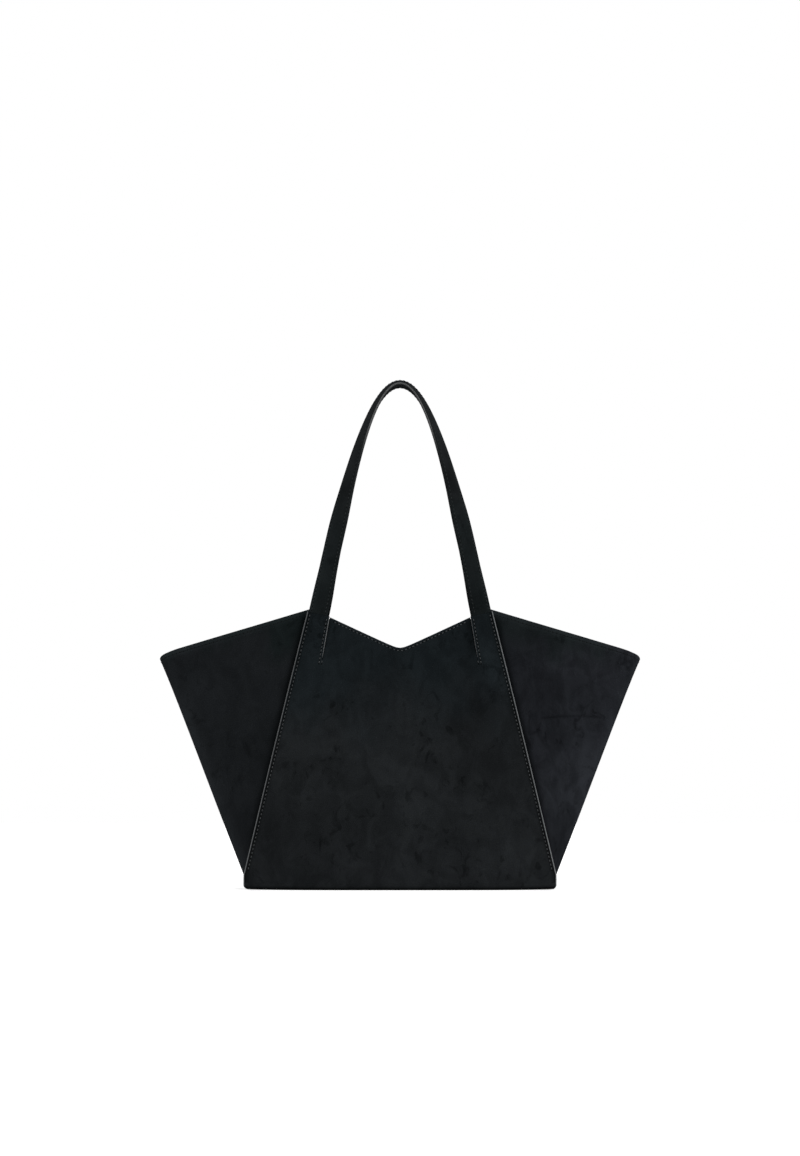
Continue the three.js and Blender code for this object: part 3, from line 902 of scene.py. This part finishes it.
def seam_press(grid, side):
    """Painted shade next to the panels and in the crease, a paler strip along the top, and a painted
    highlight along the fold.
    """
    x, z = np.abs(grid[..., 0]), grid[..., 2]
    beside = x - edge_at(np.clip(z, CORNER, None))
    behind = depth_at(z, FOOT) - np.abs(grid[..., 1])
    # Painted shadow of the panel's edge on the wing: darkest right beside it, weaker towards the back and
    # at the top.
    shade = np.interp(beside, [0.4, 1.5, 2.5, 4, 5.5, 8], [0.95, 0.68, 0.55, 0.33, 0.16, 0])
    shade = shade * (1 - 0.75 * smooth(6, 22, behind))
    shade = shade * (1 - 0.9 * smooth(0.97, 0.987, GUSSET_ROWS))[:, None]
    # A paler strip along the top edge, and below it a painted highlight along the fold.
    paler = TOP_PALE[side] * np.interp(GUSSET_ROWS, [0.968, 0.986], [0, 1])[:, None]
    below_top = 1 - smooth(0.6, 0.975, GUSSET_ROWS)[:, None]
    from_fold = x.max(1, keepdims=True) - x
    paler = paler + FOLD_HIGHLIGHT[side] * below_top * np.exp(-((from_fold / FOLD_REACH) ** 2))
    shade = np.minimum(shade - paler + marks_and_shade(x, z, WING_MARKS[side]), DEEPEST)
    if side == "right":
        shade = shade + CREASE_SHADE * sharp_crease(x, z) * (grid[..., 1] < 0)
    return shade


wing_tones = {"left": shaded_left_suede, "right": lit_right_suede}
for side, grid in (("right", right_grid), ("left", left_grid)):
    shade = seam_press(grid, side)
    finishes = [wing_tones[side], flesh_side, raw_edge]
    wing = thick_sheet(f"{side}_wing", [grid], SUEDE, finishes, press=[shade])
    dress(wing, "bag_body", "suede", f"{side}_gusset")
    print(wing.name, "deepest shade:", round(float(shade.max()), 2))

# %% [markdown] ## Facings, stiffeners and lining  Inside the mouth a band of suede, the facing, is
# sewn along the edges. Cotton lines the rest, with felt between cotton and suede, and a board keeps
# the base flat. The sheets on the walls come from one formula at growing insets, and those in the
# wings from the gusset's own rows. The cotton hangs a little slack, so it gets soft upright folds. A
# cloth simulation could make these, but the bag is stiff, and layers that share a formula can't cut
# through each other.

# %% Inside of the walls
SECOND, THIRD, FOURTH = 1.7, 3.4, 4.4
LINING_FOOT, FELT_FOOT = 5.4, 14.0
FACING_MARGIN, LINING_MARGIN, FELT_MARGIN = 7.5, 6.0, 16.0
LINING_SLACK = 0.5


def cut_from(piece, grid, held, *carriers):
    """Works out the flat size that a grid was cut to, and keeps nothing."""
    width, length = np.ptp(arcs(grid), axis=(0, 1)) * MM
    sides = np.cross(grid[1:, 1:] - grid[:-1, :-1], grid[1:, :-1] - grid[:-1, 1:])


def wall_grid(inset, foot, top_of, margin, columns=37, rows=30, slack=0.0):
    """A grid along the front wall from a foot height up to a top that depends on x."""
    made = []
    for share in np.linspace(-1, 1, columns):
        top = JOINT
        for _ in range(SETTLING):
            top = top_of(share * (edge_at(top) - margin))
        z = np.linspace(foot, top, rows)
        x = share * (edge_at(z) - margin)
        hang = np.sin(np.pi * (z - foot) / (top - foot))
        fold = np.sin(x / 7 + np.sin(z / 60)) * np.sin(x / 19 + 1) * hang
        y = front_y(x, z, inset) + slack * (1 + fold) * (1 - share**6)
        made.append(np.stack([x, y, z], -1))
    return np.stack(made, 1)


def facing_top(x):
    return np.minimum(notch_at(x) - 0.3, JOINT - 20)


facing_grid = wall_grid(THIRD, FACING_EDGE, facing_top, FACING_MARGIN)
lining_grid = wall_grid(THIRD, LINING_FOOT, lambda x: FACING_EDGE - 0.5, LINING_MARGIN, slack=LINING_SLACK)
felt_grid = wall_grid(SECOND, FELT_FOOT, lambda x: SLIT_END - 4, FELT_MARGIN)
for side, place in WALLS:
    made = thick_sheet(f"{side}_mouth_facing", [place(facing_grid)], FACING, [facing_suede, facing_suede])
    dress(made, "bag_body", "facing_suede", f"{side}_facing")
    made = thick_sheet(f"{side}_cotton", [place(lining_grid)], LINING, [cotton, cotton])
    dress(made, "bag_body", "cotton_lining", f"{side}_lining")
    cut_from(made, lining_grid, "hung", f"{side}_mouth_facing")
    made = thick_sheet(f"{side}_felt", [place(felt_grid)], FELT, [felt, felt])
    dress(made, "bag_body", "felt_interlining", f"{side}_interlining")

# %% Inside of the wings
INNER_START = 4.5
seam_share = (FACING_EDGE - FOOT) / (GUSSET_TOP - FOOT)
facing_rows = np.linspace(seam_share, 0.9985, 40)
lining_rows = np.linspace((LINING_FOOT - FOOT) / (WING_TOP - FOOT), seam_share - 0.002, 70)
for side, place in (("right", as_is), ("left", to_left)):
    inside = {"creased": side == "right", "inset": SECOND, "start": INNER_START}
    grid = place(gusset_grid(facing_rows, **inside))
    made = thick_sheet(f"{side}_wing_facing", [grid], FACING, [facing_suede, facing_suede])
    dress(made, "bag_body", "facing_suede", f"{side}_facing")
    grid = place(gusset_grid(lining_rows, **inside))
    made = thick_sheet(f"{side}_wing_cotton", [grid], LINING, [cotton, cotton])
    dress(made, "bag_body", "cotton_lining", f"{side}_lining")
    cut_from(made, grid, "hung", f"{side}_wing_facing")
print("rows in a wing: facing", len(facing_rows), "cotton", len(lining_rows))

# %% Base board and its cotton
BOARD_HALF_WIDTH, BOARD_HALF_DEPTH = 143.0, 63.0
COTTON_HALF_WIDTH, COTTON_HALF_DEPTH = 147.0, 63.5
COTTON_LEVEL, COTTON_SLACK = 4.2, 0.35


def floor_grid(half_width, half_depth, level, slack=0.0):
    x, y = np.meshgrid(np.linspace(-half_width, half_width, 41), np.linspace(half_depth, -half_depth, 17))
    z = level + slack * (1 + np.sin(x / 21 + y / 33) * np.sin(y / 17 - x / 60))
    return np.stack([x, y, z], -1)


board_lie = floor_grid(BOARD_HALF_WIDTH, BOARD_HALF_DEPTH, SECOND)
base_board = thick_sheet("stiff_base", [board_lie], BOARD, [board, board])
dress(base_board, "bag_body", "board", "base_board")
base_lie = floor_grid(COTTON_HALF_WIDTH, COTTON_HALF_DEPTH, COTTON_LEVEL, COTTON_SLACK)
base_cotton = thick_sheet("base_cotton", [base_lie], LINING, [cotton, cotton])
dress(base_cotton, "bag_body", "cotton_lining", "base_lining")
cut_from(base_cotton, base_lie, "laid", "stiff_base")
print("inside sheets done:", len(PIECES), "pieces")

# %% [markdown]
# ## The slip pocket
#
# A patch of the same cotton is sewn to the back lining on three sides. Its mouth sags open a little,
# which is what tells the eye that it is a pocket.

# %% Pocket
POCKET_HALF = 75.0
POCKET_TOP = FACING_EDGE - 10
POCKET_FOOT = POCKET_TOP - 115
POCKET_SAG = 6.0
POCKET_CORNER = 5.0


def pocket_grid():
    rounded = POCKET_FOOT + POCKET_CORNER - POCKET_CORNER * np.cos(np.linspace(0, np.pi / 2, 6))
    z = np.concatenate([rounded, np.linspace(POCKET_FOOT + 9, POCKET_TOP, 26)])
    below = np.maximum(POCKET_CORNER - (z - POCKET_FOOT), 0)
    half = POCKET_HALF - POCKET_CORNER + np.sqrt(np.maximum(POCKET_CORNER**2 - below**2, 0))
    shares = np.linspace(-1, 1, 41)
    x = half[:, None] * shares[None, :]
    z = z[:, None] * np.ones_like(x)
    sag = POCKET_SAG * (1 - shares[None, :] ** 2) ** 1.5 * smooth(POCKET_FOOT + 30, POCKET_TOP, z) ** 2
    y = front_y(x, z, FOURTH + 1.1) + sag
    return np.stack([x, y, z], -1)


pocket = thick_sheet("patch_pocket", [turn_round(pocket_grid())], LINING, [cotton, cotton])
dress(pocket, "bag_body", "cotton_lining", "slip_pocket")
cut_from(pocket, pocket_grid(), "hung", "back_cotton")
print("pocket is", round(2 * POCKET_HALF), "by", round(POCKET_TOP - POCKET_FOOT), "mm")

# %% [markdown]
# ## The straps
#
# A handle is two layers of suede sewn back to back. We loft one closed section along a curve. Each
# limb of it is one cubic curve from the tab to the crown: the arm at its start sets how long the
# strap stays straight above the tab, and the arm at its end how round the crown is. The two
# handles differ slightly, because leather never falls the same way twice. On the way up the
# section turns nearly a quarter turn, so that the strap lies flat on the shoulder. Behind
# the tab the strap is thinned to a tongue that is sewn to the panel. A small groove in the section's
# sides parts the two layers, and only the cores beside it are pale. A curve with a bevel would be
# quicker, but its section can't change on the way, and it can't store how the nap lies.

# %% Section of a strap
GROOVE = 0.3
GROOVE_HALF = 0.22
CROWNED = 0.22
BEVEL = 0.5
CORE_BACK, CORE_DROP = 0.12, 0.75
HALF_THICK = STRAP_THICK / 2
side_line = [
    (STRAP_HALF - BEVEL, HALF_THICK, 0),
    (STRAP_HALF - CORE_BACK, HALF_THICK - CORE_DROP, 1),
    (STRAP_HALF, GROOVE_HALF, 1),
    (STRAP_HALF - GROOVE, 0.0, 1),
    (STRAP_HALF, -GROOVE_HALF, 1),
    (STRAP_HALF - CORE_BACK, -HALF_THICK + CORE_DROP, 0),
    (STRAP_HALF - BEVEL, -HALF_THICK, 0),
]
face_steps = (-6.4, -3.2, 0.0, 3.2, 6.4)
face_line = [(w, CROWNED * (1 - (w / STRAP_HALF) ** 2) + HALF_THICK, 0) for w in face_steps]
under_line = [(-w, -n, kind) for w, n, kind in face_line]
SECTION = face_line + side_line + under_line + [(-w, -n, kind) for w, n, kind in side_line]
SECTION_KINDS = [kind for _, _, kind in SECTION]
SECTION_POINTS = np.array([(w, n) for w, n, _ in SECTION])
print("points in a section:", len(SECTION), "of which pale:", sum(SECTION_KINDS))

# %% Curve of a handle
CROWNS = {"front": CROWN_TOP - 3.2, "back": CROWN_TOP - 4.8}
CROWN_Y = -10.1
ROOT_ARMS = {"front": 116.0, "back": 58.6}
CROWN_ARMS = {"front": 32.4, "back": 42.8}
TWIST_EASES = {"front": 1.32, "back": 1.66}
TWISTS = {"front": math.radians(81.5), "back": math.radians(85.6)}
LIMB_STEPS = 72


def waist(share):
    """The strap has been pulled: it is a little narrow above its tab, and wide further up."""
    narrow = 0.035 * np.exp(-(((share - 0.16) / 0.07) ** 2))
    wide = 0.09 * np.exp(-(((share - 0.38) / 0.1) ** 2))
    return 1 - narrow + wide


def limb(shares, side):
    """Places of the left limb of a handle, and the directions across and out of the strap's face."""
    rise = ROOT_ARMS[side] / math.hypot(1, STRAP_SLOPE)
    root = np.array([-STRAP_ROOT, -(MOUTH_HALF - HALF_THICK), JOINT])
    crown = np.array([0.0, CROWN_Y, CROWNS[side]])
    lean_in = (CROWN_Y - root[1]) * rise / (crown[2] - JOINT)
    leave = root + [rise * STRAP_SLOPE, lean_in, rise]
    arrive = crown - [CROWN_ARMS[side], 0, 0]
    t = shares[:, None]
    places = (1 - t) ** 3 * root + 3 * t * (1 - t) ** 2 * leave
    places = places + 3 * t**2 * (1 - t) * arrive + t**3 * crown
    speed = (1 - t) ** 2 * (leave - root) + 2 * t * (1 - t) * (arrive - leave) + t**2 * (crown - arrive)
    ahead = unit(speed)
    outward = unit(np.stack([-ahead[:, 2], np.zeros(len(t)), ahead[:, 0]], -1))
    forward = np.cross(ahead, outward)
    run = run_along(places)
    share = run / run[-1]
    turn = TWISTS[side] * (1 - (1 - share) ** TWIST_EASES[side])[:, None]
    face = np.cos(turn) * forward + np.sin(turn) * outward
    across = np.cos(turn) * outward - np.sin(turn) * forward
    return places, across * waist(share)[:, None], face


def strap_frames(side):
    """The whole handle from the left tab over the crown to the right tab."""
    places, across, face = limb(np.linspace(0, 1, LIMB_STEPS), side)
    tail_z = np.array([TAB_TOP + 0.1, JOINT - 3, JOINT - 1.5])
    tail_x = -(STRAP_ROOT + STRAP_SLOPE * (JOINT - tail_z))
    tail = np.stack([tail_x, -depth_at(tail_z, HALF_THICK), tail_z], -1)
    places = np.concatenate([tail, places])
    across = np.concatenate([np.repeat(across[:1], len(tail), 0), across])
    face = np.concatenate([np.repeat(face[:1], len(tail), 0), face])
    return [np.concatenate([part, part[-2::-1] * LEFT_RIGHT]) for part in (places, across, face)]


for side, _ in WALLS:
    print(side, "handle is", round(run_along(strap_frames(side)[0])[-1]), "mm long")

# %% Straps
LIMB_SHADE = 0.14
EDGE_HIGHLIGHT = 0.45
BEND_REACH = 26.0
BEND_START, BEND_END = JOINT * MM, (JOINT + BEND_REACH) * MM
TONGUE_THICK, TONGUE_BEHIND = 1.1, 0.65
TONGUE_INNER, TONGUE_OUTER = 0.6, 0.8
STRAP_MARKS = [
    (-82, 290, 30, 17, 0.32),
    (82, 290, 30, 17, 0.33),
    (-50, 405, 30, 9, 0.28),
    (48, 413, 30, 22, 0.45),
]


def tongue_rings():
    """Sections of the thinned left end behind the tab, from its foot up."""
    rings = []
    for z in np.linspace(SLIT_END - 3, TAB_TOP - 0.4, 14):
        inner, outer = slit_at(z) + TONGUE_INNER, edge_at(z) - SEAM_LAP - FLANGE - TONGUE_OUTER
        x = (inner + outer) / 2 + SECTION_POINTS[:, 0] / STRAP_HALF * (outer - inner) / 2
        inset = SECOND + TONGUE_BEHIND - SECTION_POINTS[:, 1] / STRAP_THICK * TONGUE_THICK
        height = z + STRAP_SLOPE * (x - STRAP_ROOT) * smooth(SLIT_END, TAB_TOP, z)
        rings.append(np.stack([-x, front_y(-x, height, inset, False), height], -1))
    return rings


def strap_piece(side, place):
    """Lofts the section along a handle, with a tongue at each end."""
    places, across, face = strap_frames(side)
    wide, high = SECTION_POINTS[:, :1], SECTION_POINTS[:, 1:]
    body = places[:, None] + across[:, None] * wide + face[:, None] * high
    tongue = tongue_rings()
    other = [ring * LEFT_RIGHT for ring in tongue[::-1]]
    rings = np.stack([*tongue, *body, *other])
    rows, around = rings.shape[:2]
    ids = np.arange(rows * around).reshape(rows, around)
    beside = np.roll(ids, -1, 1)
    quads = np.stack([ids[:-1], ids[1:], beside[1:], beside[:-1]], -1).reshape(-1, 4)
    faces = [*quads, ids[0], ids[-1][::-1]]
    kinds = SECTION_KINDS * (rows - 1) + [0, 0]
    run = run_along(rings.mean(1))
    cloth = np.stack([np.tile(SECTION_POINTS[:, 0], rows), np.repeat(run, around)], -1)
    points = place(rings.reshape(-1, 3))
    x, z = rings[..., 0].ravel(), rings[..., 2].ravel()
    # Painted shade darkens the right limb and the upper limbs, and marks darken the roots. The face near
    # one edge is paler, as a painted highlight.
    pressed = LIMB_SHADE * smooth(-20, 20, x) + marks_and_shade(x, z, STRAP_MARKS)
    pressed = pressed - np.tile(EDGE_HIGHLIGHT * smooth(4, 9, SECTION_POINTS[:, 0]), rows)
    return make_piece(f"{side}_strap", points, faces, [strap_suede, strap_edge], kinds, cloth, pressed)


def bend_with(piece, side):
    """Bakes the piece's place into its mesh."""
    y = (-MOUTH_HALF if side == "front" else MOUTH_HALF) * MM
    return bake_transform(piece)


for side, place in WALLS:
    strap = strap_piece(side, place)
    bend_with(strap, side)
    layers = [f"{side}_handle_outer", f"{side}_handle_lining"]
    ends = [f"{side}_left_strap_end", f"{side}_right_strap_end"]
    dress(strap, None, "strap_suede", *layers, *ends)
    print(strap.name, "faces:", len(strap.data.polygons))

# %% [markdown]
# ## Thread
#
# Each stitch is a short piece of thread that rises out of one hole and dives into the next. We shape
# one as a capsule with its ends bent down, and set it along the seam lines. Real geometry catches the
# light as dots, which a painted line would not.

# %% One stitch and a row of them
PITCH = 4.05
STITCH = 2.3
THREAD = 0.36


def one_stitch(sides=6):
    """Points and faces of a stitch that runs along x and stands up along z."""
    along = np.array([-0.42, -0.2, 0.2, 0.42]) * STITCH
    girth = np.array([0.8, 1.0, 1.0, 0.8]) * THREAD
    angles = np.linspace(0, 2 * np.pi, sides, endpoint=False)
    rings = [[(x, r * math.cos(a), r * math.sin(a)) for a in angles] for x, r in zip(along, girth)]
    points = np.array([(-STITCH / 2, 0, 0), *sum(rings, []), (STITCH / 2, 0, 0)])
    points[:, 2] += THREAD * (0.35 - 1.5 * (2 * points[:, 0] / STITCH) ** 4)
    faces = []
    last = len(points) - 1
    for k in range(sides):
        n = (k + 1) % sides
        faces.append([0, 1 + n, 1 + k])
        faces.append([last, last - sides + k, last - sides + n])
        for ring in range(3):
            a, b = 1 + ring * sides, 1 + (ring + 1) * sides
            faces.append([a + k, a + n, b + n, b + k])
    return points, faces


STITCH_POINTS, STITCH_FACES = one_stitch()
HOLE_POINTS = STITCH_POINTS * np.array([0.75, 1.7, 0.3])


def sew(path, normals, pitch=PITCH):
    """Stitches along a path and the holes between them, each as an array of points."""
    run = run_along(path)
    count = max(1, round(run[-1] / pitch))

    def read(values, where):
        return np.stack([np.interp(where, run, values[:, k]) for k in range(3)], -1)

    def lay(shape, at):
        along = unit(read(path, at + 0.6) - read(path, at - 0.6))
        up = read(normals, at)
        across = unit(np.cross(up, along))
        up = np.cross(along, across)
        axes = np.stack([along, across, up], 1)
        return read(path, at)[:, None] + np.einsum("pk,skc->spc", shape, axes)

    step = run[-1] / count
    return lay(STITCH_POINTS, (np.arange(count) + 0.5) * step), lay(HOLE_POINTS, np.arange(count) * step)


def thread_piece(name, rows, finish, hole=needle_hole_shade):
    """Stitches as one mesh, each with a dark disc of painted shade for the hole that it comes out of."""
    stitches = np.concatenate([row for row, _ in rows])
    holes = np.concatenate([row for _, row in rows])
    shapes = np.concatenate([stitches, holes])
    count = len(STITCH_POINTS)
    faces = [[i + s * count for i in face] for s in range(len(shapes)) for face in STITCH_FACES]
    kinds = np.repeat([0, 1], len(stitches) * len(STITCH_FACES))
    return make_piece(name, shapes.reshape(-1, 3), faces, [finish, hole], kinds)


print("points in a stitch:", len(STITCH_POINTS), "faces:", len(STITCH_FACES))

# %% Thread on panels and wings
EDGE_INSET = 3.5
NOTCH_INSET = 3.0
SLIT_INSET = 2.7


def wall_row(x, z, sunk=False):
    """A path on the front wall, and the directions out of it."""
    return np.stack([x, front_y(x, z, 0, sunk), z], -1), front_normal(x, z, sunk)


z_edge = np.linspace(19, TAB_TOP + 0.5, 90)
z_slit = np.linspace(SLIT_END - 3, TAB_TOP - 4, 40)
z_stop = np.linspace(SLIT_END - 3, SLIT_END + 1.5, 6)
x_notch = np.linspace(-slit_at(SHOULDER) + 4, slit_at(SHOULDER) - 4, 80)
front_rows = []
for sign in (-1, 1):
    front_rows.append(sew(*wall_row(sign * (edge_at(z_edge) - EDGE_INSET), z_edge)))
    front_rows.append(sew(*wall_row(sign * (slit_at(z_slit) + SLIT_INSET), z_slit)))
    front_rows.append(sew(*wall_row(sign * slit_at(z_stop), z_stop)))
notch_rows = [sew(*wall_row(x_notch, notch_at(x_notch) - NOTCH_INSET, True))]


def set_rows(rows, place):
    return [(place(stitches), place(holes)) for stitches, holes in rows]


for side, place in WALLS:
    made = thread_piece(f"{side}_edge_thread", set_rows(front_rows, place), edge_thread)
    dress(made, "bag_body", "suede")
    made = thread_piece(f"{side}_notch_thread", set_rows(notch_rows, place), edge_thread)
    dress(made, "bag_body", "suede")

for side, grid in (("right", right_grid), ("left", left_grid)):
    row = 0.45 * grid[-3] + 0.55 * grid[-4]
    keep = slice(4, -4)
    outward = unit(np.cross(np.gradient(grid[-3], axis=0), grid[-1] - grid[-4]))
    made = thread_piece(f"{side}_wing_thread", [sew(row[keep], outward[keep])], plain_thread, nap_hole_shade)
    dress(made, "bag_body", "suede")
print("stitches along the edges:", sum(len(stitches) for stitches, _ in front_rows))

# %% Thread on the straps
STRAP_INSET = 2.6
STRAP_LIFT = 0.1
for side, place in WALLS:
    places, across, face = strap_frames(side)
    strap_rows = []
    for edge in (-1, 1):
        for out in (-1, 1):
            line = places + edge * (STRAP_HALF - STRAP_INSET) * across
            line = line + out * (HALF_THICK + STRAP_LIFT) * face
            strap_rows.append(sew(line[1:-1], out * face[1:-1]))
    strap_rows = set_rows(strap_rows, place)
    made = thread_piece(f"{side}_strap_thread", strap_rows, strap_thread, nap_hole_shade)
    bend_with(made, side)
    dress(made, None, "strap_suede")
    print(side, "strap stitches:", sum(len(stitches) for stitches, _ in strap_rows))

# %% [markdown]
# ## The studio
#
# The bag stands on a pale floor in soft light. The sky is white to the camera but gives only part of
# that light to the bag, so that black suede stays black. Of the two round lamps the right one is much
# stronger, because the right wing is the brighter one, and a soft sun stands for a white ceiling. The
# camera is far away and has a long lens, which keeps the upright lines of the bag nearly parallel.

# %% Floor and sky
AMBIENT = 0.45
FLOOR_GLOW = 0.6
FLOOR_HALF = 6.0

floor_mesh = bpy.data.meshes.new("studio_floor")
floor_corners = [(FLOOR_HALF * x, FLOOR_HALF * y, 0) for x, y in ((-1, -1), (1, -1), (1, 1), (-1, 1))]
floor_mesh.from_pydata(floor_corners, [], [(0, 1, 2, 3)])
floor = add_object("studio_floor", floor_mesh)
floor_finish, floor_shader = begin("studio_floor")
floor_mesh.materials.append(floor_finish)


def seen_rays(tree):
    """1 for the rays that show the studio: straight from the camera, mirrored or through glass."""
    rays = tree.nodes.new("ShaderNodeLightPath")
    kinds = ("Camera", "Glossy", "Transmission")
    straight, mirrored, through = (Wire(rays.outputs[f"Is {kind} Ray"]) for kind in kinds)
    return straight.maths("MAXIMUM", straight.maths("MAXIMUM", straight, mirrored), through)


glow = (FLOOR_GLOW * seen_rays(floor_finish.node_tree)).tint((1, 1, 1))
coat(floor_shader, Base_Color=(0.85, 0.85, 0.85, 1), Roughness=0.9, Specular_IOR_Level=0.1)
coat(floor_shader, Emission_Color=glow, Emission_Strength=1.0)

world = bpy.data.worlds.new("studio")
world.use_nodes = True
bpy.context.scene.world = world
sky = world.node_tree.nodes["Background"]
plug(sky.inputs["Color"], (1, 1, 1, 1))
plug(sky.inputs["Strength"], AMBIENT + (1 - AMBIENT) * seen_rays(world.node_tree))
print("share of the sky's light that reaches the bag:", AMBIENT)

# %% Lamps
AIM_HEIGHT = 0.2


def lamp(name, place, size, power):
    light = bpy.data.lights.new(name, "AREA")
    light.shape = "DISK"
    light.size = size
    light.energy = power
    made = add_object(name, light)
    made.location = place
    aim = np.array([0.0, 0.0, AIM_HEIGHT]) - np.array(place)
    tilt = math.pi / 2 + math.asin(aim[2] / np.linalg.norm(aim))
    made.rotation_euler = (tilt, 0, math.atan2(-aim[0], aim[1]))
    return made


lamps = [
    lamp("key", (2.4, -2.2, 0.9), 1.2, 38),
    lamp("fill", (-2.2, -2.4, 1.2), 1.6, 4),
]

sun = bpy.data.lights.new("ceiling", "SUN")
sun.energy = 1.2
sun.angle = math.radians(45)
ceiling = add_object("ceiling", sun)
ceiling.location = (0, 0, 3)
print("lamps:", [made.name for made in (*lamps, ceiling)])

# %% Camera
CAMERA_PLACE = (0, -5.0, 0.12)
CAMERA_TILT = math.radians(2.222)
FOCAL_LENGTH = 153.95
lens = bpy.data.cameras.new("camera")
lens.sensor_fit = "AUTO"
lens.sensor_width = 36
lens.lens = FOCAL_LENGTH
camera = add_object("camera", lens)
camera.location = CAMERA_PLACE
camera.rotation_euler = (math.pi / 2 + CAMERA_TILT, 0, 0)
bpy.context.scene.camera = camera
bpy.context.scene.view_settings.view_transform = "Standard"
print("camera stands", -CAMERA_PLACE[1], "m in front of the bag")
